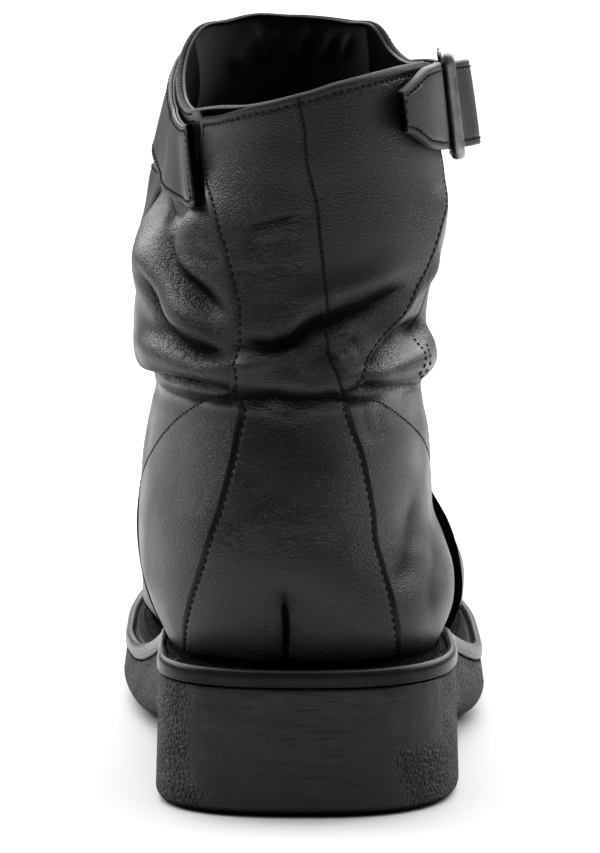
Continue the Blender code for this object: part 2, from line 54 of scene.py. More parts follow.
Array = np.ndarray
METRES = 0.001
BODY = "root"
MM_PER_DEGREE = 0.63
UP = np.array((0.0, 0.0, 1.0))
# Whether a grid's rows and columns join end to end.
OPEN, ROUND, RING = (False, False), (False, True), (True, True)
Colour = tuple[float, float, float]
Socket = bpy.types.NodeSocket
Material = bpy.types.Material


class Slot(Enum):
    """Material slots of the part's record."""

    BLACK_LEATHER = "black_leather"
    STRAP_LEATHER = "strap_leather"
    GUNMETAL = "gunmetal"
    WELT_RUBBER = "welt_rubber"
    CREPE_RUBBER = "crepe_rubber"
    LINING = "lining"


class Side(Enum):
    """Sides of the foot, by the sign of X."""

    INNER = -1.0
    OUTER = 1.0


def smooth(share: Array | float) -> Array:
    """Returns 0 to 1 with level ends."""
    share = np.clip(share, 0.0, 1.0)
    return share * share * (3.0 - 2.0 * share)


def mix(first: Array | float, second: Array | float, share: Array | float) -> Array:
    """Returns the value this share of the way from first to second."""
    return first + (second - first) * share


def rounded(share: Array, length: Array | float, power: Array | float) -> Array:
    """Returns the share of the full width left at this distance into a rounded end."""
    left = 1.0 - np.clip(share / length, 0.0, 1.0)
    return (1.0 - left**power) ** (1.0 / power)


def body_width(share: Array, stations: tuple, widths: tuple) -> Array:
    """Returns the half width between the heel, waist and ball stations.

    Args:
        share: Shares of the way from back to front.
        stations: Shares at which the heel, waist and ball lie.
        widths: Half widths there.

    Returns:
        The half widths.
    """
    heel_at, waist_at, ball_at = stations
    heel, waist, ball = widths
    back = mix(heel, waist, smooth((share - heel_at) / (waist_at - heel_at)))
    front = mix(waist, ball, smooth((share - waist_at) / (ball_at - waist_at)))
    return np.where(share < waist_at, back, front)


def through(rows: tuple, at: Array) -> list[Array]:
    """Reads a table's other columns on smooth curves where its first column equals a value.

    Args:
        rows: Table rows whose first column rises.
        at: Values of the first column to read at.

    Returns:
        One array for each other column.
    """
    table = np.array(rows, float)
    key = table[:, 0]
    low = np.clip(np.searchsorted(key, at) - 1, 0, len(key) - 2)
    span = key[low + 1] - key[low]
    share = np.clip((at - key[low]) / span, 0.0, 1.0)
    columns = []
    for values in table.T[1:]:
        slope = np.gradient(values, key)
        rise = values[low + 1] - values[low]
        bend_a, bend_b = slope[low] * span, slope[low + 1] * span
        cube = bend_a + bend_b - 2.0 * rise
        square = 3.0 * rise - 2.0 * bend_a - bend_b
        columns.append(((cube * share + square) * share + bend_a) * share + values[low])
    return columns


def unit(vectors: Array) -> Array:
    """Returns the vectors at length 1."""
    return vectors / np.maximum(np.linalg.norm(vectors, axis=-1, keepdims=True), 1e-9)


def facing(points: Array, closed: bool) -> Array:
    """Returns the outward normals of a grid.

    Args:
        points: Grid whose rows rise and whose columns run round the boot.
        closed: Whether the columns join end to end.

    Returns:
        One normal for each point.
    """
    if closed:
        run = np.roll(points, -1, 1) - np.roll(points, 1, 1)
    else:
        run = np.gradient(points, axis=1)
    return unit(np.cross(run, np.gradient(points, axis=0)))


def shaded(painted_shade: Array, points: Array, closed: bool) -> Array:
    """Returns the painted shade of leather: that of its creases, with more where it faces the
    floor.
    """
    down = -facing(points, closed)[..., 2]
    return np.clip(painted_shade + smooth((down - 0.08) / 0.6), 0.0, 1.0)


def run_length(points: Array, axis: int) -> Array:
    """Returns the distance walked along one axis of a grid of points.

    Args:
        points: Points of a line or a grid.
        axis: The axis to walk along.

    Returns:
        The distance from the start to each point.
    """
    steps = np.linalg.norm(np.diff(points, axis=axis), axis=-1)
    start = np.zeros_like(np.take(steps, [0], axis=axis))
    return np.concatenate([start, np.cumsum(steps, axis=axis)], axis=axis)


def read_along(values: Array, at: Array, where: Array) -> Array:
    """Returns a line's values, known at some distances along it, at other distances."""
    return np.stack([np.interp(where, at, column) for column in values.T], -1)


def put(name: str, data: bpy.types.ID) -> bpy.types.Object:
    """Puts a mesh, light or camera into the scene.

    Args:
        name: The object's name.
        data: What the object shows.

    Returns:
        The new object.
    """
    made = bpy.data.objects.new(name, data)
    bpy.context.scene.collection.objects.link(made)
    return made


class Section(NamedTuple):
    """One section of the upper: ends, half widths and sideways lean."""

    back_z: float
    back_y: float
    front_y: float
    front_z: float
    heel: float
    waist: float
    ball: float
    lean: float
    front_lean: float


class Fold(NamedTuple):
    """A main slouch fold through three points of turn and height."""

    turn_a: float
    turn_b: float
    turn_c: float
    z_a: float
    z_b: float
    z_c: float
    half_width: float
    height: float


class Crease(NamedTuple):
    """A trough (negative height) or ridge along points of turn and height."""

    path: tuple[tuple[float, float], ...]
    half_width: float
    height: float
    wrinkle: float = 0.0
    # The least painted shade along the crease's middle.
    shade: float = 0.0


class Edge(NamedTuple):
    """The turns of an overlay's inner and outer edge at a level."""

    level: float
    inner: float
    outer: float


class StrapRow(NamedTuple):
    """The strap's stand-off, drop below the collar, width and inward lean at a way round."""

    round: float
    away: float
    drop: float
    width: float
    lean: float


class Relief(NamedTuple):
    """What the creases do at some points: push, wrinkling, depth of painted shade and unrolled
    place.
    """

    push: Array
    wrinkle: Array
    painted_shade: Array
    place: Array


SECTIONS = (
    Section(31.6, -25.0, 240.0, 23.0, 32.2, 31.0, 41.2, -0.9, -0.5),
    Section(37.3, -27.0, 241.5, 30.3, 34.4, 33.6, 42.6, -0.7, -0.5),
    Section(44.3, -29.5, 240.5, 39.8, 37.8, 37.6, 42.8, -1.0, -0.6),
    Section(51.3, -31.0, 236.0, 48.8, 39.4, 38.8, 41.0, -2.2, -3.0),
    Section(58.3, -32.0, 226.0, 57.3, 39.1, 38.2, 38.6, -3.8, -5.0),
    Section(65.3, -32.0, 209.0, 64.3, 38.2, 37.2, 36.2, -5.2, -6.4),
    Section(72.3, -31.0, 187.0, 70.8, 38.0, 37.2, 34.4, -5.2, -6.4),
    Section(79.3, -29.5, 163.0, 77.8, 37.3, 37.0, 32.8, -5.0, -6.0),
    Section(86.3, -27.5, 140.0, 85.3, 36.3, 36.1, 31.4, -4.7, -5.6),
    Section(92.3, -26.0, 123.0, 93.3, 34.5, 34.8, 29.8, -4.8, -5.2),
    Section(97.3, -25.5, 112.0, 100.8, 33.8, 34.2, 29.4, -4.5, -4.8),
    Section(100.8, -28.0, 104.5, 107.8, 37.4, 38.0, 33.4, -5.0, -5.0),
    Section(104.8, -30.5, 99.5, 113.8, 38.4, 38.6, 35.0, -5.8, -5.8),
    Section(110.3, -30.5, 95.5, 120.3, 37.4, 37.2, 35.4, -6.7, -6.4),
    Section(116.3, -29.0, 91.5, 127.8, 37.0, 37.2, 35.8, -6.4, -6.2),
    Section(123.3, -28.0, 87.5, 136.8, 37.8, 38.1, 36.8, -5.2, -5.4),
    Section(131.3, -27.5, 84.0, 146.3, 38.8, 39.1, 37.8, -4.0, -4.6),
    Section(140.3, -27.5, 81.0, 156.3, 38.2, 38.4, 37.8, -2.8, -4.2),
    Section(149.3, -27.5, 78.5, 165.3, 33.6, 33.6, 34.4, -0.2, -3.4),
    Section(157.3, -28.0, 77.0, 173.8, 30.6, 30.6, 30.8, 0.7, -3.4),
    Section(165.3, -28.0, 76.0, 182.3, 29.8, 29.8, 30.2, 0.9, -3.6),
    Section(173.3, -28.0, 75.0, 190.3, 30.6, 30.6, 30.4, -0.2, -4.6),
)
TOP = len(SECTIONS) - 1

COLLAR_RISE = (
    (-180.0, -0.6), (-165.0, 0.0), (-150.0, -0.6), (-130.0, -0.6), (-120.0, -3.0),
    (-110.0, -6.0), (-100.0, -8.5), (-90.0, -10.5), (-80.0, -11.2), (-70.0, -10.8),
    (-62.0, -9.2), (-45.0, -6.0), (-25.0, -3.4), (0.0, 0.8), (10.0, 2.6),
    (20.0, 3.5), (30.0, 3.9), (45.0, 3.7), (70.0, 1.2), (90.0, -2.4),
    (100.0, -4.0), (110.0, -4.6), (120.0, -3.6), (130.0, -0.2), (150.0, -0.6),
    (180.0, -0.6),
)

FOLDS = {
    "roll_trough": Fold(-80.0, -24.0, 50.0, 124.3, 109.8, 123.3, 5.5, -2.4),
    "medial_drape": Fold(-66.0, -36.0, -12.0, 143.3, 125.3, 117.3, 5.0, -2.2),
    "medial_drape_ridge": Fold(-90.0, -48.0, -16.0, 135.3, 120.3, 113.8, 5.5, 1.6),
    "outer_trough": Fold(32.0, 52.0, 80.0, 105.8, 110.3, 115.3, 4.5, -2.0),
    "strap_cinch": Fold(-112.0, -74.0, -36.0, 154.0, 147.0, 145.5, 8.0, -6.4),
    "front_trough": Fold(120.0, 180.0, 240.0, 119.3, 125.3, 119.3, 6.0, -2.2),
    "front_roll": Fold(110.0, 180.0, 250.0, 129.3, 137.3, 129.3, 7.0, 2.0),
}

INNER_ARC = (
    (-16, 100.0), (-24, 99.9), (-43, 95.8), (-56, 88.1), (-63, 81.0), (-68, 74.2), (-74, 64.3),
    (-78, 50.3),
)
OUTER_ARC = ((24, 99.5), (37, 98.1), (53, 92.5), (66, 83.9), (74, 75.3), (79, 64.3), (81, 50.3))
SEAMS = {
    "inner_arc": INNER_ARC,
    "outer_arc": OUTER_ARC,
    "outer_side": ((69, 112.0), (66, 109.9), (60, 106.2), (56, 103.1)),
    "outer_side_second": ((72, 110.0), (68, 107.9), (64, 104.9), (59, 101.8)),
    "inner_side": ((-112, 152.6), (-107, 151.8), (-100, 150.6), (-94, 149.3)),
}

# The fifth value of a crease, where given, is painted shade along its middle.
CREASES = {
    "upper_inner_swell": Crease(
        ((-64, 154.3), (-52, 148.3), (-43, 141.3), (-36, 132.3), (-20, 127.3)), 3.6, 0.7
    ),
    "strap_pinch": Crease(
        ((-102, 147.0), (-88, 145.0), (-76, 143.5), (-66, 141.5), (-56, 139.5)),
        4.0, -0.8, 0.0, 0.75,
    ),
    "drape_trough": Crease(
        (
            (-70, 146.0), (-62, 138.9), (-55, 135.6), (-49, 130.9), (-37, 126.3), (-27, 122.5),
            (-15, 120.3),
        ),
        2.2, -2.0, 1.0, 0.6,
    ),
    "drape_ridge": Crease(
        ((-82, 138.0), (-72, 133.9), (-47, 126.1), (-36, 119.7), (-31, 117.7), (-17, 117.0)),
        3.4, 2.0,
    ),
    "roll_top_trough": Crease(
        ((-68, 130.0), (-53, 122.0), (-47, 114.9), (-36, 111.4), (-19, 110.9), (-10, 110.5)),
        2.3, -3.0, 1.0, 0.9,
    ),
    "roll_crown": Crease(
        ((-78, 110.3), (-43, 109.6), (-29, 108.8), (-14, 108.4), (2, 108.4), (14, 109.4)), 3.6, 1.8
    ),
    "panel_upper_swell": Crease(((-2, 121.3), (10, 125.3), (28, 129.3), (44, 134.3)), 3.6, 1.3),
    "panel_outer_swell": Crease(((56, 122.0), (60, 138.0), (64, 153.0)), 8.0, 1.3),
    "panel_trough": Crease(
        (
            (-20, 112.3), (-12, 113.6), (-2, 112.8), (4, 114.2), (10, 117.4), (17, 119.1),
            (28, 121.5), (46, 127.8),
        ),
        2.2, -2.8, 1.0, 0.9,
    ),
    "panel_ridge": Crease(((-18, 108.8), (-5, 109.8), (1, 111.3), (11, 114.3)), 2.6, 1.7),
    "panel_hollow": Crease(((4, 106.3), (10, 108.8), (18, 111.8)), 3.6, -1.4, 0.7),
    "pucker_ridge_a": Crease(((16, 116.4), (20, 117.3), (26, 117.4)), 1.5, 0.9, 0.2),
    "pucker_trough": Crease(((16, 112.8), (22, 113.3), (29, 114.2)), 1.6, -0.5, 0.3),
    "pucker_ridge_b": Crease(((17, 108.6), (22, 109.7), (28, 110.9)), 1.4, 0.9, 0.2),
    "outer_drape_ridge": Crease(((33, 115.3), (46, 120.8), (58, 126.8), (70, 135.3)), 3.2, 1.6),
    "outer_roll_trough": Crease(
        ((20, 106.5), (32, 108.9), (44, 112.2), (56, 114.3), (69, 113.8), (86, 114.5)),
        2.0, -2.6, 1.0, 0.9,
    ),
    "outer_roll_crown": Crease(((24, 103.8), (46, 106.6), (74, 107.8)), 3.2, 1.5),
    "under_roll_back": Crease(
        ((-26, 100.3), (-9, 100.2), (-3, 101.1), (1, 100.1), (15, 100.6), (26, 99.9)),
        1.2, -2.0, 0.6,
    ),
    "under_roll_inner": Crease(
        (
            (-104, 101.0), (-80, 101.2), (-62, 102.0), (-47, 103.2), (-33, 103.2), (-25, 102.5),
            (-17, 101.6), (-9, 100.2),
        ),
        1.1, -2.5, 0.9, 1.0,
    ),
    "under_roll_outer": Crease(
        ((13, 101.8), (23, 102.8), (33, 101.8), (62, 98.8), (86, 97.0)), 1.5, -1.6, 1.0, 0.7
    ),
    "outer_slit": Crease(((70, 126.0), (71, 119.5), (70, 112.0)), 0.55, -0.9, 0.0, 1.0),
    "inner_gap": Crease(
        ((-96, 148.6), (-88, 147.2), (-74, 144.1), (-62, 139.6)), 0.8, -1.0, 0.0, 0.9
    ),
    "inner_curve": Crease(
        ((-97, 150.0), (-96, 146.0), (-94, 141.4), (-92, 134.0)), 0.8, -0.9, 0.0, 0.9
    ),
    "panel_wrinkle": Crease(((-20, 140.3), (-7, 142.8), (4, 145.3)), 1.2, -0.8, 1.0),
    "panel_wrinkle_hollow": Crease(((-16, 137.3), (-7, 138.3), (3, 140.3)), 3.6, -1.3, 0.6),
    "inner_wrinkle": Crease(((-46, 135.3), (-32, 134.3), (-19, 133.5)), 1.4, -0.8, 1.0),
    "panel_low_wrinkle": Crease(((-18, 131.6), (-4, 130.5), (5, 131.3)), 1.5, -0.6, 0.9),
    "panel_upright_hollow": Crease(((-4, 135.3), (-3, 127.3), (-3, 119.3)), 4.0, -0.9, 0.3),
    "stay_hollow": Crease(((0, 99.5), (1, 92.0), (2, 85.5), (0, 78.0)), 4.2, -1.1, 0.2, 0.3),
    "stay_diagonal": Crease(
        ((2, 82.0), (-5, 76.0), (-11, 70.8), (-17, 66.0)), 4.0, -0.9, 0.3, 0.35
    ),
    "stay_wrinkle": Crease(((-20, 66.0), (-6, 66.7), (4, 68.1), (18, 68.1)), 1.5, -0.45, 0.8),
    "dart_bed": Crease(((-1.6, 60.0), (-2.6, 46.0), (-3.2, 36.3), (-3.2, 20.0)), 2.2, -1.2),
    "quarter_hollow": Crease(
        ((52, 76.0), (44, 70.8), (38, 64.1), (27, 56.0), (21, 49.5)), 3.2, -1.2, 0.0, 0.75
    ),
    "quarter_swell": Crease(((52, 72.3), (40, 64.3), (30, 56.3)), 4.5, 0.6),
    "quarter_crease": Crease(((50, 64.0), (44, 57.6), (34, 50.5), (31, 42.3)), 2.2, -0.7, 0.0, 0.6),
    "quarter_top_fold": Crease(((29, 99.3), (31, 94.3), (33, 87.3)), 1.5, -0.4, 0.5),
    "quarter_top_fold_b": Crease(((37, 98.3), (38, 93.3), (40, 88.3)), 1.5, -0.3, 0.5),
    "inner_quarter_hollow": Crease(((-44, 91.3), (-40, 80.3), (-36, 67.3)), 6.0, -0.8, 0.1),
    "inner_arc_seam": Crease(INNER_ARC, 1.0, -0.45),
    "outer_arc_seam": Crease(OUTER_ARC, 1.0, -0.45),
    "ankle_front_low": Crease(
        ((135, 102.3), (158, 106.3), (180, 108.3), (202, 106.3), (225, 102.3)), 2.6, -2.2, 0.9
    ),
    "ankle_front_mid": Crease(
        ((130, 114.3), (160, 119.3), (185, 118.3), (228, 115.3)), 2.2, -2.0, 0.9
    ),
    "ankle_front_high": Crease(
        ((140, 144.3), (170, 151.3), (205, 149.3), (235, 140.3)), 3.0, -1.8, 0.7
    ),
    "inner_side_sag": Crease(
        ((-150, 124.3), (-120, 114.3), (-92, 109.3), (-70, 106.3)), 3.2, -2.0, 0.8
    ),
    "inner_side_drape": Crease(
        ((-140, 142.3), (-112, 130.3), (-88, 123.3), (-72, 126.3)), 3.0, -1.9, 0.8
    ),
    "outer_side_sag": Crease(
        ((150, 124.3), (122, 115.3), (98, 112.3), (78, 115.3)), 3.0, -2.0, 0.8
    ),
    "outer_side_drape": Crease(
        ((142, 140.3), (118, 130.3), (96, 126.3), (76, 129.3)), 3.0, -1.7, 0.7
    ),
}

LINING_FOLDS = {
    "inner_fold": Crease(((216, 175.0), (206, 180.0), (192, 187.5)), 2.6, 1.6),
    "inner_small_fold": Crease(((199, 177.0), (190, 182.0), (184, 187.0)), 1.6, 0.8),
    "middle_fold": Crease(((181, 177.0), (176, 182.0), (169, 187.5)), 1.8, 1.3),
    "outer_fold": Crease(((167, 178.0), (161, 182.5), (156, 186.5)), 1.7, 1.2),
    "outer_small_fold": Crease(((155, 179.0), (150, 183.0), (146, 186.0)), 1.5, 0.9),
}

BACK_STAY = (
    Edge(0.9, -29.5, 21.0),
    Edge(2.4, -26.0, 20.5),
    Edge(4.4, -22.0, 24.0),
    Edge(6.0, -20.0, 26.5),
    Edge(7.5, -19.0, 26.5),
    Edge(9.0, -18.5, 25.0),
    Edge(10.7, -18.0, 21.8),
)
SHAFT_PANEL = (
    Edge(10.62, -18.0, 21.7),
    Edge(11.2, -18.0, 23.5),
    Edge(12.5, -17.0, 32.0),
    Edge(13.8, -16.0, 43.0),
    Edge(14.8, -17.0, 50.0),
    Edge(16.0, -21.5, 56.5),
    Edge(16.8, -25.7, 61.5),
    Edge(17.5, -33.0, 70.0),
    Edge(18.0, -40.0, 76.0),
    Edge(18.5, -47.5, 80.5),
    Edge(19.2, -54.5, 83.5),
    Edge(20.0, -58.0, 84.6),
    Edge(20.5, -55.5, 85.3),
    Edge(21.0, -52.5, 86.0),
)
VAMP_LEVELS = (Edge(0.9, 0.0, 0.0), Edge(8.4, 0.0, 0.0))
VAMP_EDGE = (
    (22.3, 60.0), (32.3, 68.0), (43.3, 80.0), (56.3, 94.0), (72.3, 106.0), (88.3, 112.0),
    (102.3, 114.0),
)

STRAP_PATH = (
    StrapRow(62.0, 1.1, 3.4, 19.0, 0.0),
    StrapRow(74.0, 0.6, 3.4, 19.0, 0.0),
    StrapRow(90.0, 0.5, 3.4, 19.0, 0.0),
    StrapRow(104.0, 0.4, 2.6, 19.4, 0.0),
    StrapRow(120.0, 0.4, 3.0, 20.2, 0.0),
    StrapRow(150.0, 0.6, 8.0, 21.0, 0.0),
    StrapRow(180.0, 0.8, 10.4, 21.0, 0.0),
    StrapRow(200.0, 2.6, 10.4, 21.0, 0.0),
    StrapRow(213.0, 5.6, 10.8, 21.0, 0.6),
    StrapRow(225.0, 9.4, 9.8, 21.0, 1.4),
    StrapRow(236.0, 13.4, 6.4, 21.0, 2.4),
    StrapRow(246.0, 15.6, 1.6, 21.8, 2.4),
    StrapRow(254.0, 13.2, 0.1, 21.6, 1.8),
    StrapRow(262.0, 6.8, 0.1, 21.6, 0.8),
    StrapRow(270.0, 3.6, 0.1, 21.6, 0.0),
    StrapRow(278.0, 2.0, 0.1, 21.6, 0.0),
    StrapRow(286.0, 1.9, 0.1, 21.6, 0.0),
    StrapRow(298.0, 2.6, 0.2, 21.0, 0.0),
    StrapRow(310.0, 3.2, 0.5, 19.2, 0.0),
    StrapRow(318.0, 3.6, 1.2, 16.6, 0.0),
    StrapRow(327.0, 4.2, 2.0, 15.0, 0.0),
)


class Shading:
    """A node tree with short calls for adding and joining nodes."""

    def __init__(self, name: str) -> None:
        """Makes a material with a plain principled shader.

        Args:
            name: The material's name.
        """
        self.material = bpy.data.materials.new(name)
        self.material.use_nodes = True
        self.tree = self.material.node_tree
        self.shader = self.tree.nodes["Principled BSDF"]
        self.place = self.add("ShaderNodeTexCoord").outputs["Object"]

    def add(self, kind: str, inputs: dict | None = None, **settings: object) -> bpy.types.Node:
        """Adds a node.

        Args:
            kind: Blender's name of the node type.
            inputs: Values or sockets by input name or number.
            **settings: Properties of the node.

        Returns:
            The new node.
        """
        node = self.tree.nodes.new(kind)
        for key, value in settings.items():
            setattr(node, key, value)
        for key, value in (inputs or {}).items():
            self.feed(node, key, value)
        return node

    def feed(self, node: bpy.types.Node, key: str | int, value: object) -> None:
        """Joins a socket to a node's input, or sets the input's value.

        Args:
            node: The node.
            key: Name or number of its input.
            value: The socket or the value.
        """
        if isinstance(value, Socket):
            self.tree.links.new(value, node.inputs[key])
        else:
            node.inputs[key].default_value = value

    def math(self, operation: str, first: object, second: object = 0.0) -> Socket:
        """Returns the result of one sum on two values or sockets."""
        return self.add("ShaderNodeMath", {0: first, 1: second}, operation=operation).outputs[0]

    def ramp(
        self, value: object, low: float, high: float, start: float = 0.0, end: float = 1.0
    ) -> Socket:
        """Returns the value carried from the range low to high onto start to end."""
        inputs = {"Value": value, "From Min": low, "From Max": high, "To Min": start, "To Max": end}
        return self.add("ShaderNodeMapRange", inputs, interpolation_type="SMOOTHSTEP").outputs[0]

    def noise(
        self,
        size_mm: float,
        detail: float = 2.0,
        stretch: tuple = (1.0, 1.0, 1.0),
        vector: object = None,
    ) -> Socket:
        """Adds soft noise.

        Args:
            size_mm: Size of its features.
            detail: How much finer noise lies on it.
            stretch: Scale along each axis.
            vector: Place to read it at, by default the object's.

        Returns:
            The socket that gives it.
        """
        inputs = {"Vector": vector or self.place, "Scale": stretch}
        scaled = self.add("ShaderNodeMapping", inputs).outputs[0]
        inputs = {"Vector": scaled, "Scale": 1.0 / (size_mm * METRES), "Detail": detail}
        return self.add("ShaderNodeTexNoise", inputs).outputs["Fac"]

    def cells(self, size_mm: float, feature: str = "F1") -> Socket:
        """Returns the distance inside cells of about this size."""
        inputs = {"Vector": self.place, "Scale": 1.0 / (size_mm * METRES)}
        return self.add("ShaderNodeTexVoronoi", inputs, feature=feature).outputs["Distance"]

    def mark(self, name: str) -> Socket:
        """Returns a share that the mesh carries at its points."""
        return self.add("ShaderNodeAttribute", attribute_name=name).outputs["Fac"]

    def tint(self, share: object, first: tuple, second: tuple) -> Socket:
        """Returns a colour between two by a share."""
        return self.cover((*first, 1.0), share, second)

    def cover(self, under: object, share: object, tone: tuple) -> Socket:
        """Returns a colour with a tone laid over it by a share."""
        inputs = {"Factor": share, 6: under, 7: (*tone, 1.0)}
        return self.add("ShaderNodeMix", inputs, data_type="RGBA").outputs[2]

    def bump(self, height: object, depth_mm: float, under: object = None) -> Socket:
        """Roughens the surface.

        Args:
            height: Height of 0 to 1.
            depth_mm: What height 1 stands for.
            under: A normal to add to, if any.

        Returns:
            The socket of the new normal.
        """
        inputs = {"Height": height, "Distance": depth_mm * METRES, "Strength": 1.0}
        node = self.add("ShaderNodeBump", inputs)
        if under is not None:
            self.feed(node, "Normal", under)
        return node.outputs[0]

    def dress(self, **values: object) -> Material:
        """Sets the shader's inputs.

        Args:
            **values: Values or sockets by input name, with underscores for spaces.

        Returns:
            The material.
        """
        for key, value in values.items():
            self.feed(self.shader, key.replace("_", " "), value)
        return self.material


@dataclass(frozen=True)
class LeatherFinish:
    """Fine-grained satin leather with smooth dark margins, wrinkled creases and painted shade where
    the mesh marks it.
    """

    name: str
    colour: Colour = (0.006, 0.006, 0.0063)
    pale: Colour = (0.0095, 0.0095, 0.0099)
    margin_colour: Colour = (0.0035, 0.0035, 0.0037)
    shade_colour: Colour = (0.0015, 0.0015, 0.0015)
    roughness: float = 0.37
    gloss: float = 0.34
    grain_size: float = 0.46
    grain_depth: float = 0.18
    wrinkle_depth: float = 0.2
    speck_colour: Colour = (0.3, 0.3, 0.29)

    def material(self) -> Material:
        """Makes the leather.

        Returns:
            The new material.
        """
        shade = Shading(self.name)
        names = ("margin", "wrinkle", "dark_edge_and_painted_shade", "painted_shade")
        margin, wrinkle, dark_edge_and_painted_shade, painted_shade = (shade.mark(name) for name in names)
        broad = shade.noise(14.0, 1.0)
        cell = shade.cells(self.grain_size)
        pore = shade.math("MULTIPLY", shade.noise(0.4, 1.0), 0.5)
        grain = shade.math("SUBTRACT", pore, shade.math("MULTIPLY", cell, cell))
        patchy = shade.ramp(shade.noise(22.0, 2.0), 0.3, 0.72, 0.45, 1.0)
        bare = shade.math("SUBTRACT", 1.0, margin)
        grain = shade.math("MULTIPLY", grain, patchy)
        grain = shade.math("MULTIPLY", grain, shade.math("MAXIMUM", bare, 0.15))
        unrolled = shade.add("ShaderNodeAttribute", attribute_name="place").outputs["Vector"]
        lines = shade.noise(0.85, 2.0, (0.34, 1.0, 1.0), unrolled)
        ridged = shade.math("ABSOLUTE", shade.math("SUBTRACT", lines, 0.5))
        wrinkles = shade.math("MULTIPLY", shade.ramp(ridged, 0.0, 0.12), wrinkle)
        normal = shade.bump(broad, 0.25)
        normal = shade.bump(wrinkles, self.wrinkle_depth, normal)
        normal = shade.bump(grain, self.grain_depth, normal)
        speck = shade.ramp(shade.cells(13.0), 0.0, 0.024, 0.2, 0.0)
        colour = shade.tint(shade.ramp(broad, 0.3, 0.75), self.colour, self.pale)
        # Painted shade in creases and gaps, and dark cut edges, take the shade colour and lose
        # their gloss.
        dark = shade.math("MAXIMUM", shade.math("MULTIPLY", painted_shade, 0.85), dark_edge_and_painted_shade)
        colour = shade.cover(colour, margin, self.margin_colour)
        colour = shade.cover(colour, dark, self.shade_colour)
        colour = shade.cover(colour, speck, self.speck_colour)
        rough = shade.ramp(broad, 0.25, 0.75, self.roughness - 0.05, self.roughness + 0.07)
        rough = shade.math("ADD", rough, shade.math("MULTIPLY", dark_edge_and_painted_shade, 0.5))
        dull = shade.math("MAXIMUM", dark, shade.math("MULTIPLY", margin, 0.6))
        gloss = shade.ramp(dull, 0.0, 1.0, self.gloss, 0.0)
        return shade.dress(
            Base_Color=colour, Roughness=rough, Normal=normal, Specular_IOR_Level=gloss
        )


@dataclass(frozen=True)
class RubberFinish:
    """Black rubber, pebbled where the mesh is marked so and finely lined elsewhere, with painted
    shade near the floor and on marked ledges.
    """

    name: str
    colour: Colour = (0.008, 0.008, 0.0083)
    dust: Colour = (0.032, 0.032, 0.0315)
    roughness: float = 0.5
    pebble_depth: float = 2.2
    pebble_size: float = 1.4
    line_depth: float = 0.11
    gloss: float = 0.34
    dull_gloss: float = 0.02
    pit_and_painted_shade_colour: Colour = (0.0015, 0.0015, 0.0015)

    def material(self) -> Material:
        """Makes the rubber.

        Returns:
            The new material.
        """
        shade = Shading(self.name)
        pebbled = shade.mark("pebble")
        edge = shade.cells(self.pebble_size, "DISTANCE_TO_EDGE")
        rough_tops = shade.math("MULTIPLY", shade.noise(0.7, 2.0), 0.5)
        knots = shade.math("ADD", shade.ramp(edge, 0.0, 0.34), rough_tops)
        knots = shade.math("MULTIPLY", knots, pebbled)
        lines = shade.noise(9.0, 5.0, (0.7, 0.7, 4.5))
        patchy = shade.ramp(shade.noise(11.0, 2.0), 0.35, 0.7, 0.15, 1.0)
        lines = shade.math("MULTIPLY", lines, patchy)
        fine = shade.noise(0.45, 2.0)
        normal = shade.bump(lines, self.line_depth * 6.0)
        normal = shade.bump(fine, self.line_depth, normal)
        normal = shade.bump(knots, self.pebble_depth, normal)
        worn = shade.math("MULTIPLY", shade.ramp(shade.noise(8.0, 4.0), 0.52, 0.75), 0.4)
        speck = shade.ramp(shade.cells(9.0), 0.0, 0.03, 0.5, 0.0)
        colour = shade.tint(shade.math("ADD", worn, speck), self.colour, self.dust)
        height = shade.add("ShaderNodeSeparateXYZ", {"Vector": shade.place}).outputs["Z"]
        # Painted contact shade darkens and dulls the rubber within about 3 mm of the floor, and the
        # marked ledge likewise; the gaps between pebbles are darker too.
        foot = shade.ramp(height, 0.6 * METRES, 2.8 * METRES, 1.0, 0.0)
        gaps = shade.math("MULTIPLY", shade.ramp(edge, 0.02, 0.2, 1.0, 0.25), pebbled)
        dull = shade.math("MAXIMUM", foot, shade.mark("dark_edge_and_painted_shade"))
        colour = shade.cover(colour, shade.math("MAXIMUM", gaps, dull), self.pit_and_painted_shade_colour)
        rough = shade.ramp(fine, 0.3, 0.7, self.roughness - 0.04, self.roughness + 0.08)
        rough = shade.math("ADD", rough, shade.math("MULTIPLY", pebbled, 0.12))
        gloss = shade.ramp(dull, 0.0, 1.0, self.gloss, self.dull_gloss)
        return shade.dress(
            Base_Color=colour, Roughness=rough, Normal=normal, Specular_IOR_Level=gloss
        )


@dataclass(frozen=True)
class MetalFinish:
    """Dark polished gunmetal with faint scratches."""

    name: str
    colour: Colour = (0.2, 0.2, 0.205)
    roughness: float = 0.3
    pale: Colour = (0.3, 0.3, 0.305)

    def material(self) -> Material:
        """Makes the metal.

        Returns:
            The new material.
        """
        shade = Shading(self.name)
        cloud = shade.noise(2.5, 3.0)
        scratch = shade.noise(0.6, 2.0, (1.0, 1.0, 0.08))
        rough = shade.ramp(cloud, 0.3, 0.7, self.roughness - 0.05, self.roughness + 0.09)
        colour = shade.tint(shade.ramp(cloud, 0.3, 0.8), self.colour, self.pale)
        normal = shade.bump(scratch, 0.02)
        return shade.dress(Base_Color=colour, Metallic=1.0, Roughness=rough, Normal=normal)


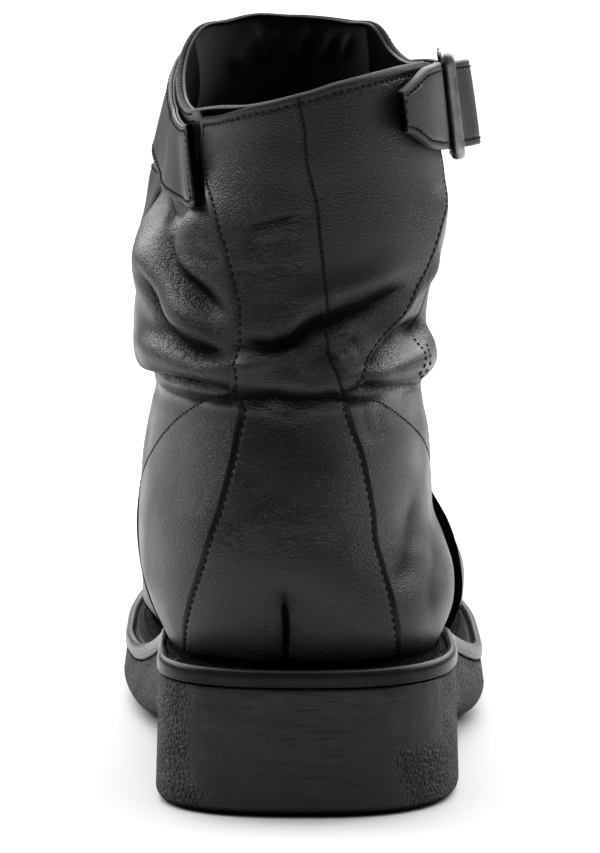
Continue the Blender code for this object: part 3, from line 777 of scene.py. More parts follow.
@dataclass(frozen=True)
class ClothFinish:
    """Matt woven lining or thread."""

    name: str
    colour: Colour = (0.003, 0.003, 0.003)
    pale: Colour = (0.006, 0.006, 0.006)
    weave: float = 0.55
    depth: float = 0.08
    sheen: float = 0.06

    def material(self) -> Material:
        """Makes the cloth.

        Returns:
            The new material.
        """
        shade = Shading(self.name)
        weave = shade.math("ADD", shade.cells(self.weave), shade.noise(self.weave * 2.0, 3.0))
        colour = shade.tint(shade.noise(3.0, 3.0), self.colour, self.pale)
        return shade.dress(
            Base_Color=colour,
            Roughness=shade.ramp(weave, 0.2, 1.2, 0.72, 0.9),
            Normal=shade.bump(weave, self.depth),
            Sheen_Weight=self.sheen,
            Sheen_Roughness=0.5,
            Specular_IOR_Level=0.25,
        )


class Workshop:
    """Turns grids of points into finished pieces on the boot."""

    def __init__(self) -> None:
        """Starts with no finishes made."""
        self.finishes: dict[str, Material] = {}

    def finish(self, finish: object) -> Material:
        """Makes a finish's material once.

        Args:
            finish: The finish.

        Returns:
            Its material.
        """
        if finish.name not in self.finishes:
            self.finishes[finish.name] = finish.material()
        return self.finishes[finish.name]

    def piece(
        self,
        name: str,
        points: Array,
        faces: Array,
        finish: object,
        slot: Slot,
        node: str | None = None,
        marks: dict[str, Array] | None = None,
    ) -> bpy.types.Object:
        """Makes one piece that rides on the boot.

        Args:
            name: Plain name of the piece.
            points: Points in millimetres, in rows of three.
            faces: Corner numbers, in rows of three or four.
            finish: The finish that the piece wears.
            slot: Not used.
            node: The solid that the piece stands for, if any.
            marks: Values at each point for the finish to read, by name.

        Returns:
            The new object.
        """
        mesh = bpy.data.meshes.new(name)
        mesh.from_pydata((points * METRES).tolist(), [], faces.tolist())
        for mark, values in (marks or {}).items():
            flat = np.asarray(values, np.float32)
            kind, key = ("FLOAT", "value") if flat.ndim == 1 else ("FLOAT_VECTOR", "vector")
            mesh.attributes.new(mark, kind, "POINT").data.foreach_set(key, flat.ravel())
        mesh.shade_smooth()
        mesh.materials.append(self.finish(finish))
        made = put(name, mesh)
        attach(made, BODY)
        if node:
            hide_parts(node)
        LOG.info("%s: %d faces", name, len(faces))
        return made

    def sheet(
        self,
        name: str,
        grid: Array,
        finish: object,
        slot: Slot,
        node: str | None = None,
        marks: dict[str, Array] | None = None,
        closed: tuple[bool, bool] = OPEN,
    ) -> bpy.types.Object:
        """Makes a piece from a grid of points.

        Args:
            name: Plain name of the piece.
            grid: Rows and columns of points in millimetres.
            finish: The finish that the piece wears.
            slot: The record's slot that the finish belongs to.
            node: The solid that the piece stands for, if any.
            marks: Grids of values for the finish to read, by name.
            closed: Whether the rows and the columns join end to end.

        Returns:
            The new object.
        """
        flat = {key: value.reshape(-1, *value.shape[2:]) for key, value in (marks or {}).items()}
        faces = grid_faces(*grid.shape[:2], closed)
        return self.piece(name, grid.reshape(-1, 3), faces, finish, slot, node, flat)


def grid_faces(rows: int, columns: int, closed: tuple[bool, bool]) -> Array:
    """Joins a grid's points with four-cornered faces.

    Args:
        rows: Number of rows.
        columns: Number of columns.
        closed: Whether the rows and the columns join end to end.

    Returns:
        Corner numbers in rows of four.
    """
    row = np.arange(rows if closed[0] else rows - 1)[:, None]
    column = np.arange(columns if closed[1] else columns - 1)[None, :]
    after_row, after_column = (row + 1) % rows, (column + 1) % columns
    here, beyond = row * columns, after_row * columns
    corners = [here + column, here + after_column, beyond + after_column, beyond + column]
    return np.stack(corners, -1).reshape(-1, 4)


@dataclass
class SoleForm:
    """Outline and heights of the sole unit; pairs are the inner and the outer side."""

    back_y: float = -36.0
    toe_y: float = 249.0
    heel_half: tuple[float, float] = (36.4, 37.0)
    waist_half: tuple[float, float] = (36.6, 36.2)
    ball_half: tuple[float, float] = (49.4, 47.4)
    heel_station: float = 0.13
    waist_station: tuple[float, float] = (0.25, 0.26)
    ball_station: tuple[float, float] = (0.58, 0.50)
    back_round: tuple[float, float] = (0.105, 0.147)
    toe_round: tuple[float, float] = (0.36, 0.38)
    back_power: float = 2.5
    toe_power: float = 2.3
    toe_inward: float = 2.0
    heel_seat_z: float = 31.3
    forefoot_z: float = 15.3
    spring: float = 9.0
    spring_start: float = 168.0
    spring_power: float = 1.7
    breast_y: float = 40.0
    breast_run: float = 3.0
    arch_rise: float = 8.0
    arch_start: float = 22.0
    arch_end: float = 104.0
    curve_start: float = 120.0

    def toe_spring(self, y: Array) -> Array:
        """Returns the lift of the sole towards the toe."""
        run = (y - self.spring_start) / (self.toe_y - self.spring_start)
        return self.spring * np.clip(run, 0.0, 1.0) ** self.spring_power

    def top(self, y: Array) -> Array:
        """Returns the height of the sole's upper face."""
        slope = smooth((y - self.arch_start) / (self.arch_end - self.arch_start))
        return mix(self.heel_seat_z, self.forefoot_z, slope) + self.toe_spring(y)

    def bottom(self, y: Array) -> Array:
        """Gives the height of the sole's under face.

        Args:
            y: Places along the foot.

        Returns:
            The heights.
        """
        breast = np.clip((y - self.breast_y) / self.breast_run, 0.0, 1.0)
        start = self.breast_y + self.breast_run
        fall = 1.0 - smooth((y - start) / (self.arch_end - start))
        return self.arch_rise * breast * fall + self.toe_spring(y)

    def shift(self, y: Array) -> Array:
        """Returns the sideways curve of the foot's middle line."""
        return -self.toe_inward * smooth((y - self.curve_start) / (self.toe_y - self.curve_start))

    def half(self, y: Array, side: Side) -> Array:
        """Gives the half width on one side.

        Args:
            y: Places along the foot.
            side: The side.

        Returns:
            The half widths.
        """
        i = 0 if side is Side.INNER else 1
        share = (y - self.back_y) / (self.toe_y - self.back_y)
        stations = (self.heel_station, self.waist_station[i], self.ball_station[i])
        widths = (self.heel_half[i], self.waist_half[i], self.ball_half[i])
        back = rounded(share, self.back_round[i], self.back_power)
        toe = rounded(1.0 - share, self.toe_round[i], self.toe_power)
        return body_width(share, stations, widths) * back * toe

    def outline(self, turn: Array) -> Array:
        """Gives points of the outline.

        Args:
            turn: Turns in degrees.

        Returns:
            Points of X and Y.
        """
        angle = np.radians(turn)
        y = mix(self.back_y, self.toe_y, (1.0 - np.cos(angle)) / 2.0)
        outer = np.sin(angle) >= 0.0
        x = np.where(outer, self.half(y, Side.OUTER), -self.half(y, Side.INNER))
        return np.stack([self.shift(y) + x, y], -1)

    def edge(self, turn: Array) -> tuple[Array, Array]:
        """Returns points of the outline and the directions out of it."""
        run = self.outline(turn + 0.6) - self.outline(turn - 0.6)
        return self.outline(turn), unit(np.stack([run[..., 1], -run[..., 0]], -1))


@dataclass
class CreaseField:
    """All the creases of the leather."""

    creases: dict[str, Crease]
    spacing: float = 0.6
    fade: float = 0.3
    reach: float = 3.4
    trough_power: float = 1.45
    ridge_power: float = 2.0
    steep_from: float = 0.45
    steep_run: float = 0.7
    painted_shade_width: float = 0.85
    wrinkle_width: float = 2.2
    apart: float = 40.0

    def line(self, crease: Crease) -> Array:
        """Lays out one crease.

        Args:
            crease: The crease.

        Returns:
            Evenly spaced points of unrolled turn and height.
        """
        path = np.array(crease.path, float) * (MM_PER_DEGREE, 1.0)
        at = run_length(path, 0)
        spots = np.linspace(0.0, at[-1], max(8, int(at[-1] / self.spacing)))
        return np.stack(through(np.column_stack([at, path]), spots), -1)

    def relief(self, turn: Array, z: Array) -> Relief:
        """Adds up what all creases do.

        Args:
            turn: Turns in degrees.
            z: Heights.

        Returns:
            The relief at those places.
        """
        turn, z = np.broadcast_arrays(np.asarray(turn, float), np.asarray(z, float))
        push, wrinkle, painted_shade = (np.zeros(turn.shape) for _ in range(3))
        place = np.stack([turn * MM_PER_DEGREE, z, np.zeros(turn.shape)], -1) * METRES
        for number, crease in enumerate(self.creases.values()):
            line = self.line(crease)
            middle = line[:, 0].mean() / MM_PER_DEGREE
            u = ((turn - middle + 180.0) % 360.0 - 180.0 + middle) * MM_PER_DEGREE
            reach = self.reach * crease.half_width
            low, high = line.min(0) - reach, line.max(0) + reach
            near = (u > low[0]) & (u < high[0]) & (z > low[1]) & (z < high[1])
            if not near.any():
                continue
            away = np.stack([u[near], z[near]], -1)[:, None] - line[None]
            gap = (away**2).sum(-1)
            best = gap.argmin(1)
            across = np.sqrt(gap.min(1)) / crease.half_width
            share = best / (len(line) - 1)
            fade = smooth(np.minimum(share, 1.0 - share) / self.fade)
            power = self.trough_power if crease.height < 0.0 else self.ridge_power
            push[near] += crease.height * (fade * np.exp(-(across**power)))
            # Steep troughs, and creases given a shade, lay painted shade along their middle.
            steep = (-crease.height / crease.half_width - self.steep_from) / self.steep_run
            dark = np.clip(steep, crease.shade, 1.0)
            painted_shade[near] += dark * fade * np.exp(-((across / self.painted_shade_width) ** 2))
            lines = crease.wrinkle * fade * np.exp(-((across / self.wrinkle_width) ** 2))
            run = unit(np.gradient(line, axis=0))[best]
            offset = away[np.arange(len(best)), best]
            walked = best * np.linalg.norm(line[1] - line[0]) + (offset * run).sum(-1)
            beside = offset[:, 0] * run[:, 1] - offset[:, 1] * run[:, 0]
            own = np.full(len(best), self.apart * number)
            spot = np.stack([walked, beside, own], -1) * METRES
            place[near] = np.where((lines > wrinkle[near])[:, None], spot, place[near])
            wrinkle[near] = np.maximum(wrinkle[near], lines)
        return Relief(push, wrinkle, np.clip(painted_shade, 0.0, 1.0), place)


@dataclass
class UpperForm:
    """The upper's outer face as a function of level and turn."""

    sole: SoleForm
    creases: CreaseField
    gap: float = 0.3
    wall: float = 2.0
    stations: tuple[float, float, float] = (0.17, 0.42, 0.68)
    foot_shape_ends_at: float = 10.0
    foot_back_round: float = 0.15
    foot_toe_round: float = 0.34
    foot_power: float = 2.25
    shaft_power: float = 2.15
    feather_curve_ends_at: float = 7.0
    collar_shape_from: float = 17.0
    shaft_round: float = 0.5
    lean_from: float = 0.25
    lean_run: float = 0.6
    fold_fade: float = 0.3
    level_step: float = 0.05
    turn_step: float = 1.0
    search_steps: int = 22
    line_samples: int = 160

    def section(self, level: Array) -> Section:
        """Reads the section table on smooth curves.

        Args:
            level: Levels.

        Returns:
            The sections at those levels.
        """
        table = np.array(SECTIONS)
        low = np.clip(np.floor(level), 0, TOP - 1).astype(int)
        share = (level - low)[..., None]
        near = (table[np.clip(low + step, 0, TOP)] for step in (-1, 0, 1, 2))
        before, first, second, after = near
        bend_a, bend_b = (second - before) / 2.0, (after - first) / 2.0
        cube = 2.0 * first - 2.0 * second + bend_a + bend_b
        square = 3.0 * second - 3.0 * first - 2.0 * bend_a - bend_b
        values = ((cube * share + square) * share + bend_a) * share + first
        return Section(*np.moveaxis(values, -1, 0))

    def bare(self, level: Array, turn: Array) -> Array:
        """Gives points before any fold.

        Args:
            level: Levels.
            turn: Turns in degrees.

        Returns:
            The points.
        """
        row = self.section(level)
        angle = np.radians(turn)
        share = (1.0 - np.cos(angle)) / 2.0
        sign = np.where(np.sin(angle) >= 0.0, 1.0, -1.0)
        foot = 1.0 - smooth(level / self.foot_shape_ends_at)
        power = mix(self.shaft_power, self.foot_power, foot)
        y = mix(row.back_y, row.front_y, share)
        half = body_width(share, self.stations, (row.heel, row.waist, row.ball))
        half = half * rounded(share, mix(self.shaft_round, self.foot_back_round, foot), power)
        half = half * rounded(1.0 - share, mix(self.shaft_round, self.foot_toe_round, foot), power)
        feather = self.sole.top(y) + self.gap - mix(SECTIONS[0].back_z, SECTIONS[0].front_z, share)
        curved = np.clip(1.0 - level / self.feather_curve_ends_at, 0.0, 1.0)
        z = mix(row.back_z, row.front_z, share) + feather * curved
        collar = smooth((level - self.collar_shape_from) / (TOP - self.collar_shape_from))
        (rise,) = through(COLLAR_RISE, (turn + 180.0) % 360.0 - 180.0)
        z = z + collar * rise
        lean = mix(row.lean, row.front_lean, smooth((share - self.lean_from) / self.lean_run))
        return np.stack([lean + self.sole.shift(y) + sign * half, y, z], -1)

    def fold_push(self, turn: Array, z: Array) -> Array:
        """Adds up the main slouch folds.

        Args:
            turn: Turns in degrees.
            z: Heights.

        Returns:
            How far they push the leather out.
        """
        push = np.zeros(np.shape(turn))
        for fold in FOLDS.values():
            span = fold.turn_c - fold.turn_a
            share = ((turn - fold.turn_a) % 360.0) / span
            at_b = (fold.turn_b - fold.turn_a) / span
            line = fold.z_a * (share - at_b) * (share - 1.0) / at_b
            line = line + fold.z_b * share * (share - 1.0) / (at_b * (at_b - 1.0))
            line = line + fold.z_c * share * (share - at_b) / (1.0 - at_b)
            fade = smooth(np.minimum(share, 1.0 - share) / self.fold_fade)
            across = np.clip((z - line) / fold.half_width, -6.0, 6.0)
            push = push + fold.height * fade * np.exp(-(across**2))
        return push

    def normal(self, face: Callable[[Array, Array], Array], level: Array, turn: Array) -> Array:
        """Finds the normals of a surface function by small steps.

        Args:
            face: The function of level and turn.
            level: Levels.
            turn: Turns in degrees.

        Returns:
            The outward normals.
        """
        above = np.minimum(TOP, level + self.level_step)
        below = np.maximum(0.0, level - self.level_step)
        rise = face(above, turn) - face(below, turn)
        run = face(level, turn + self.turn_step) - face(level, turn - self.turn_step)
        return unit(np.cross(run, rise))

    def rim_normal(self, turn: Array) -> Array:
        """Returns the outward normals at the collar's rim."""
        return self.normal(self.outer, np.full(turn.shape, TOP), turn)

    def outer(self, level: Array, turn: Array) -> Array:
        """Gives points of the outer face with the main folds.

        Args:
            level: Levels.
            turn: Turns in degrees.

        Returns:
            The points.
        """
        bare = self.bare(level, turn)
        push = self.fold_push(turn, bare[..., 2])
        return bare + push[..., None] * self.normal(self.bare, level, turn)

    def skin(self, level: Array, turn: Array, height: Array | float = 0.0) -> tuple[Array, Relief]:
        """Gives points on or over the creased leather.

        Args:
            level: Levels.
            turn: Turns in degrees.
            height: How far outside the leather they lie.

        Returns:
            The points, and what the creases do there.
        """
        level, turn = np.broadcast_arrays(np.asarray(level, float), np.asarray(turn, float))
        point = self.outer(level, turn)
        relief = self.creases.relief(turn, point[..., 2])
        push = relief.push + height
        return point + push[..., None] * self.normal(self.outer, level, turn), relief

    def level_at(self, turn: Array, z: Array, low: float = 0.0) -> Array:
        """Finds where the outer face reaches some heights.

        Args:
            turn: Turns in degrees.
            z: Heights.
            low: The level to search from.

        Returns:
            The levels.
        """
        below, above = (np.full(np.shape(turn), float(end)) for end in (low, TOP))
        for _ in range(self.search_steps):
            middle = (below + above) / 2.0
            short = self.outer(middle, turn)[..., 2] < z
            below, above = np.where(short, middle, below), np.where(short, above, middle)
        return above

    def line(self, path: tuple, height: float = 0.0, trim: float = 0.0) -> tuple[Array, Array]:
        """Lays a line on the leather.

        Args:
            path: Points of turn and height that the line runs through.
            height: How far it lies outside the leather.
            trim: How much of both ends is left off.

        Returns:
            The line's points and the directions out of the leather there.
        """
        rows = np.array(path, float)
        at = run_length(rows * (MM_PER_DEGREE, 1.0), 0)
        spots = np.linspace(trim, at[-1] - trim, self.line_samples)
        turn, z = through(np.column_stack([at, rows]), spots)
        level = self.level_at(turn, z)
        return self.skin(level, turn, height)[0], self.normal(self.outer, level, turn)


@dataclass
class Stitching:
    """Rows of thread sewn along lines."""

    shop: Workshop
    pitch: float = 2.0
    length: float = 1.3
    radius: float = 0.28
    sides: int = 6
    finish: ClothFinish = ClothFinish(
        "black_thread",
        (0.001, 0.001, 0.001),
        (0.003, 0.003, 0.003),
        weave=0.3,
        depth=0.04,
        sheen=0.0,
    )

    def row(self, points: Array, outward: Array) -> tuple[Array, Array]:
        """Lays stitches along a line.

        Args:
            points: Points of the line.
            outward: Directions out of the leather at those points.

        Returns:
            The stitches' points and faces.
        """
        at = run_length(points, 0)
        count = max(1, int(at[-1] / self.pitch))
        mids = (np.arange(count) + 0.5) * at[-1] / count
        along = unit(read_along(points, at, mids + 0.3) - read_along(points, at, mids - 0.3))
        middle, out = read_along(points, at, mids), unit(read_along(outward, at, mids))
        side = unit(np.cross(along, out))
        out = np.cross(side, along)
        stops = np.array([-1.0, -0.9, -0.55, 0.0, 0.55, 0.9, 1.0])
        thick = np.array([0.15, 0.62, 0.95, 1.0, 0.95, 0.62, 0.15]) * self.radius
        dip = -0.5 * self.radius * stops**4
        turn = np.linspace(0.0, 2.0 * np.pi, self.sides, endpoint=False)
        ring = thick[:, None] * np.cos(turn), thick[:, None] * np.sin(turn) + dip[:, None]
        run = np.broadcast_to(stops[:, None] * self.length / 2.0, ring[0].shape)
        stitches = middle[:, None, None]
        for part, axis in ((run, along), (ring[0], side), (ring[1], out)):
            stitches = stitches + part[None, ..., None] * axis[:, None, None]
        one = grid_faces(len(stops), self.sides, ROUND)
        faces = one[None] + (np.arange(count) * len(stops) * self.sides)[:, None, None]
        return stitches.reshape(-1, 3), faces.reshape(-1, 4)

    def sew(self, name: str, lines: list[tuple[Array, Array]], slot: Slot) -> None:
        """Makes one piece of thread from several rows.

        Args:
            name: Plain name of the piece.
            lines: Points of each row with the directions out of the leather.
            slot: The record's slot that the thread belongs to.
        """
        points, faces, start = [], [], 0
        for line, outward in lines:
            row_points, row_faces = self.row(line, outward)
            points.append(row_points)
            faces.append(row_faces + start)
            start += len(row_points)
        self.shop.piece(name, np.concatenate(points), np.concatenate(faces), self.finish, slot)


@dataclass
class Upper:
    """The hollow leather upper with its rolled collar, facing and lining."""

    shop: Workshop
    form: UpperForm
    stitching: Stitching
    rows: int = 218
    foot_rows: int = 74
    columns: int = 405
    back_columns: int = 300
    rim_round: float = 0.6
    facing_depth: float = 4.5
    facing_turns: tuple[float, float] = (-122.0, 137.0)
    facing_gap: float = 0.45
    lining_gap: float = 0.1
    lining_fold_level: float = 17.0
    dense_turn: float = 115.0
    foot_level: float = 9.6
    panel_middle: float = 15.0
    panel_half: float = 72.0
    corner_turns: tuple[float, float] = (-58.0, -19.0)
    bead_radius: float = 0.5
    bead_drop: float = 0.3
    seam_lift: float = 0.05
    rim_turns: tuple[float, float] = (-64.0, -274.0)
    rim_rows: tuple[float, float] = (3.4, 1.4)
    rim_lift: float = 0.1
    mm_per_level: float = 8.0
    finish: LeatherFinish = LeatherFinish("black_leather")
    # The facing is darker than the outer leather: painted shade for the inside of the collar.
    facing_finish: LeatherFinish = LeatherFinish(
        "facing_leather",
        (0.0016, 0.0016, 0.0016),
        (0.003, 0.003, 0.003),
        gloss=0.07,
        grain_depth=0.06,
    )
    lining_finish: ClothFinish = ClothFinish(
        "black_lining", (0.0012, 0.0012, 0.0012), (0.0035, 0.0035, 0.0035), sheen=0.07
    )

    def build(self) -> None:
        """Builds the shell, the facing, the lining, the collar bead and the seams."""
        self.shell()
        self.inside()
        self.collar_bead()
        self.seams()

    def shell(self) -> None:
        """The outer face, rolled over the collar."""
        back = np.linspace(-self.dense_turn, self.dense_turn, self.back_columns)
        rest = self.columns - self.back_columns + 2
        front = np.linspace(self.dense_turn, 360.0 - self.dense_turn, rest)[1:-1]
        turn = np.concatenate([back, front])
        foot = np.linspace(0.0, self.foot_level, self.foot_rows, endpoint=False)
        shaft = np.linspace(self.foot_level, TOP, self.rows - self.foot_rows)
        level = np.concatenate([foot, shaft])
        points, relief = self.form.skin(level[:, None], turn[None, :])
        normal = self.form.rim_normal(turn)
        points[-1] -= 0.6 * self.rim_round * UP
        rim = points[-1]
        roll = []
        for angle in np.linspace(0.0, np.pi, 9)[1:]:
            across = (math.cos(angle) - 1.0) * self.form.wall / 2.0
            roll.append(rim + normal * across + UP * math.sin(angle) * self.rim_round)
        painted_shade = shaded(relief.painted_shade, points, True)
        blank = np.zeros((len(roll), len(turn)))
        # The rim is wrinkled beside the panel; a painted shadow line lies under the panel's inner
        # corner, and painted shade darkens the inner part of the rolled rim.
        bound = 0.9 * smooth((np.abs(turn - self.panel_middle) - self.panel_half) / 5.0)
        first, last = self.corner_turns
        under = smooth((turn - first) / 5.0) * smooth((last - turn) / 6.0)
        band = smooth((level - TOP + 0.5) / 0.1) * smooth((TOP - 0.04 - level) / 0.05)
        inward = np.linspace(0.0, 0.9, len(roll))[:, None] ** 0.5
        walked = np.arange(len(roll))[:, None, None] * (0.0, 0.35 * METRES, 0.0)
        marks = {
            "wrinkle": np.concatenate([relief.wrinkle, blank + bound]),
            "painted_shade": np.concatenate([painted_shade, blank]),
            "dark_edge_and_painted_shade": np.concatenate([under * band[:, None], blank + inward]),
            "margin": np.concatenate([np.zeros(painted_shade.shape), blank + 1.0]),
            "place": np.concatenate([relief.place, relief.place[-1:] + walked]),
        }
        points = np.concatenate([points, np.stack(roll)])
        slot = Slot.BLACK_LEATHER
        self.shop.sheet("upper_leather", points, self.finish, slot, "upper", marks, ROUND)

    def inside(self) -> None:
        """The leather facing at the back and sides, and the lining with soft folds in front."""
        top = TOP - 0.03
        turn = np.linspace(*self.facing_turns, 200)
        level = np.linspace(TOP - self.facing_depth, top, 40)
        points, _ = self.form.skin(level[:, None], turn[None, :], -self.form.wall - self.facing_gap)
        self.shop.sheet("collar_facing", points[:, ::-1], self.facing_finish, Slot.BLACK_LEATHER)
        turn = np.linspace(0.0, 360.0, 320, endpoint=False)
        low = np.linspace(0.0, self.lining_fold_level, 80, endpoint=False)
        level = np.concatenate([low, np.linspace(self.lining_fold_level, top, 60)])
        z = self.form.outer(level[:, None], turn[None, :])[..., 2]
        folds = CreaseField(LINING_FOLDS).relief(turn[None, :], z).push
        inward = -self.form.wall - self.lining_gap - folds
        points = self.form.skin(level[:, None], turn[None, :], inward)[0][:, ::-1]
        self.shop.sheet("shaft_lining", points, self.lining_finish, Slot.LINING, closed=ROUND)

    def collar_bead(self) -> None:
        """The thin bead along the inner edge of the rim."""
        turn = np.linspace(-180.0, 180.0, 360, endpoint=False)
        rim, _ = self.form.skin(np.full(turn.shape, TOP - 0.02), turn)
        normal = self.form.rim_normal(turn)
        middle = rim - normal * self.form.wall - UP * self.bead_drop
        angle = np.linspace(0.0, 2.0 * np.pi, 10, endpoint=False)[None, :, None]
        tube = self.bead_radius * (np.cos(angle) * normal[:, None] + np.sin(angle) * UP)
        tube = middle[:, None] + tube
        self.shop.sheet("collar_bead", tube, self.facing_finish, Slot.BLACK_LEATHER, closed=RING)

    def rim_line(self, down: float) -> tuple[Array, Array]:
        """Lays a line below the collar.

        Args:
            down: How far below.

        Returns:
            The line's points and the directions out of the leather there.
        """
        turn = np.linspace(*self.rim_turns, 160)
        level = np.full(turn.shape, TOP - down / self.mm_per_level)
        points, _ = self.form.skin(level, turn, self.rim_lift)
        return points, self.form.normal(self.form.outer, level, turn)

    def seams(self) -> None:
        """The thread of the counter arcs, the side seams and the rim."""
        lines = [self.form.line(path, self.seam_lift) for path in SEAMS.values()]
        self.stitching.sew("quarter_stitches", lines, Slot.BLACK_LEATHER)
        rim = [self.rim_line(down) for down in self.rim_rows]
        self.stitching.sew("rim_stitches", rim, Slot.BLACK_LEATHER)


@dataclass
class Overlay:
    """A leather overlay on the upper, with rounded edges, smooth margins and stitch rows."""

    shop: Workshop
    form: UpperForm
    stitching: Stitching
    name: str
    node: str
    edges: tuple[Edge, ...]
    rows: int
    columns: int
    thick: float = 1.55
    edge_round: float = 0.8
    margin: float = 2.3
    stitch_depth: float = 0.22
    band: float = 1.0
    cut_shade: float = 0.7
    cut_width: float = 0.35
    flare: tuple[float, float] = (0.0, 0.0)
    sewn: tuple[str, ...] = ("inner", "outer")
    tucked: tuple[str, ...] = ()
    bedded: float = 0.12
    flare_run: float = 14.0
    flare_top: float = 64.0
    stitch_width: float = 0.55
    tuck: float = 0.7
    tuck_run: float = 2.5
    cut_fade: float = 0.7
    edge_crowding: float = 0.09
    finish: LeatherFinish = LeatherFinish("black_leather")

    def turns(self, level: Array) -> tuple[Array, Array]:
        """Returns the turns of both edges at levels."""
        inner, outer = through(self.edges, level)
        return inner, outer

    def grid(self) -> tuple[Array, Array]:
        """Lays out the overlay's points, closer together near its edges.

        Returns:
            Their levels and turns.
        """
        level = np.linspace(self.edges[0].level, self.edges[-1].level, self.rows)
        share = np.linspace(0.0, 1.0, self.columns)
        share = share - self.edge_crowding * np.sin(2.0 * np.pi * share)
        inner, outer = self.turns(level)
        turn = mix(inner[:, None], outer[:, None], share[None, :])
        return np.repeat(level[:, None], self.columns, 1), turn

    def extra(self, turn: Array, z: Array) -> tuple[Array, Array]:
        """Returns any further push and darkening of this overlay."""
        return np.zeros(turn.shape), np.zeros(turn.shape)

    def build(self) -> None:
        """Builds the overlay and its stitches."""
        level, turn = self.grid()
        base, _ = self.form.skin(level, turn)
        across, up = run_length(base, 1), run_length(base, 0)
        sides = {
            "inner": across, "outer": across[:, -1:] - across, "low": up, "high": up[-1:] - up
        }
        near = np.minimum.reduce([gap for side, gap in sides.items() if side not in self.tucked])
        sewn = np.minimum.reduce([sides[side] for side in self.sewn])
        inside = np.clip(near / self.edge_round, 0.0, 1.0)
        lifted = sum(
            lift * (1.0 - smooth(sides[side] / self.flare_run))
            for lift, side in zip(self.flare, ("inner", "outer"))
        )
        lifted = lifted * smooth((self.flare_top - base[..., 2]) / self.flare_run)
        edge_curve = np.sqrt(1.0 - (1.0 - inside) ** 2)
        height = (self.thick + lifted + self.bedded) * edge_curve - self.bedded
        groove = np.exp(-(((sewn - self.margin) / self.stitch_width) ** 2))
        height = height - self.stitch_depth * groove
        for side in self.tucked:
            height = height - self.tuck * (1.0 - smooth(sides[side] / self.tuck_run))
        push, dark_edge_and_painted_shade = self.extra(turn, base[..., 2])
        # Cut edges are dark, partly edge colour and partly painted shade; on the vamp the painted
        # shade reaches further over its raised back edge.
        cut = self.cut_shade * (1.0 - smooth((near - self.cut_width) / self.cut_fade))
        points, relief = self.form.skin(level, turn, height + push)
        margin = self.band * (1.0 - smooth((sewn - self.margin + 0.35) / 0.5))
        marks = {
            "margin": margin,
            "wrinkle": relief.wrinkle * (1.0 - 0.8 * margin),
            "place": relief.place,
            "dark_edge_and_painted_shade": np.maximum(dark_edge_and_painted_shade, cut),
            "painted_shade": shaded(relief.painted_shade, points, False),
        }
        self.shop.sheet(self.name, points, self.finish, Slot.BLACK_LEATHER, self.node, marks)
        self.sew(level, turn, sides)

    def sew(self, level: Array, turn: Array, sides: dict[str, Array]) -> None:
        """Sews the rows of stitches along the margins.

        Args:
            level: Levels of the overlay's points.
            turn: Turns of the overlay's points.
            sides: Distances from each edge, by its name.
        """
        lines = []
        for side in self.sewn:
            flip = side in ("low", "high")
            gap = np.abs(sides[side] - self.margin)
            pick = gap.argmin(0 if flip else 1)
            other = np.arange(len(pick))
            where = (pick, other) if flip else (other, pick)
            others = np.minimum.reduce([sides[end][where] for end in sides if end != side])
            free = others > self.margin * 0.6
            spot = (level[where][free], turn[where][free])
            points, _ = self.form.skin(*spot, self.thick - 0.1)
            lines.append((points, self.form.normal(self.form.outer, *spot)))
        self.stitching.sew(self.name + "_stitches", lines + self.more_rows(), Slot.BLACK_LEATHER)

    def more_rows(self) -> list[tuple[Array, Array]]:
        """Returns any further rows of stitches of this overlay."""
        return []


@dataclass
class BackStay(Overlay):
    """The tapered heel piece with its short dart."""

    dart: Crease = Crease(((-2.0, 55.5), (-2.6, 46.0), (-3.2, 36.3), (-3.2, 24.0)), 0.42, -0.95)

    def extra(self, turn: Array, z: Array) -> tuple[Array, Array]:
        """Returns the dart's push and the painted shade in its slot."""
        cut = CreaseField({"dart": self.dart}, 0.3, 0.2).relief(turn, z).push
        return cut, smooth(cut / -0.6)


@dataclass
class ShaftPanel(Overlay):
    """The wrapped panel at the back of the shaft, made of two halves sewn at a middle seam."""

    corner_drop: float = 0.32
    corner_from: float = -46.0
    corner_run: float = 28.0
    swell_half: float = 2.2
    swell_height: float = 0.25
    seam_shade: float = 0.8
    seam: Crease = Crease(
        ((-3, 174.3), (-2.5, 168.3), (-1, 158.0), (6, 143.1), (12, 124.2), (17, 111.9), (18, 99.3)),
        0.4,
        -0.4,
    )

    def grid(self) -> tuple[Array, Array]:
        """Lays out the panel, whose top edge is lower towards the inner corner.

        Returns:
            Levels and turns of its points.
        """
        level, turn = super().grid()
        low = self.edges[0].level
        cut = self.corner_drop * (1.0 - smooth((turn - self.corner_from) / self.corner_run))
        return low + (level - low) * (1.0 - cut / (TOP - low)), turn

    def extra(self, turn: Array, z: Array) -> tuple[Array, Array]:
        """Sinks the middle seam between two low swells.

        Args:
            turn: Turns in degrees.
            z: Heights.

        Returns:
            The push and the dark seam line, with painted shade in its groove.
        """
        cut = CreaseField({"seam": self.seam}, 0.5, 0.02).relief(turn, z).push
        raised = self.seam._replace(half_width=self.swell_half, height=self.swell_height)
        swell = CreaseField({"seam": raised}, 0.5, 0.05).relief(turn, z).push
        return cut + swell, self.seam_shade * smooth(cut / self.seam.height)

    def more_rows(self) -> list[tuple[Array, Array]]:
        """Returns the row of stitches in the middle seam."""
        return [self.form.line(self.seam.path, self.thick - 0.05, 1.2)]


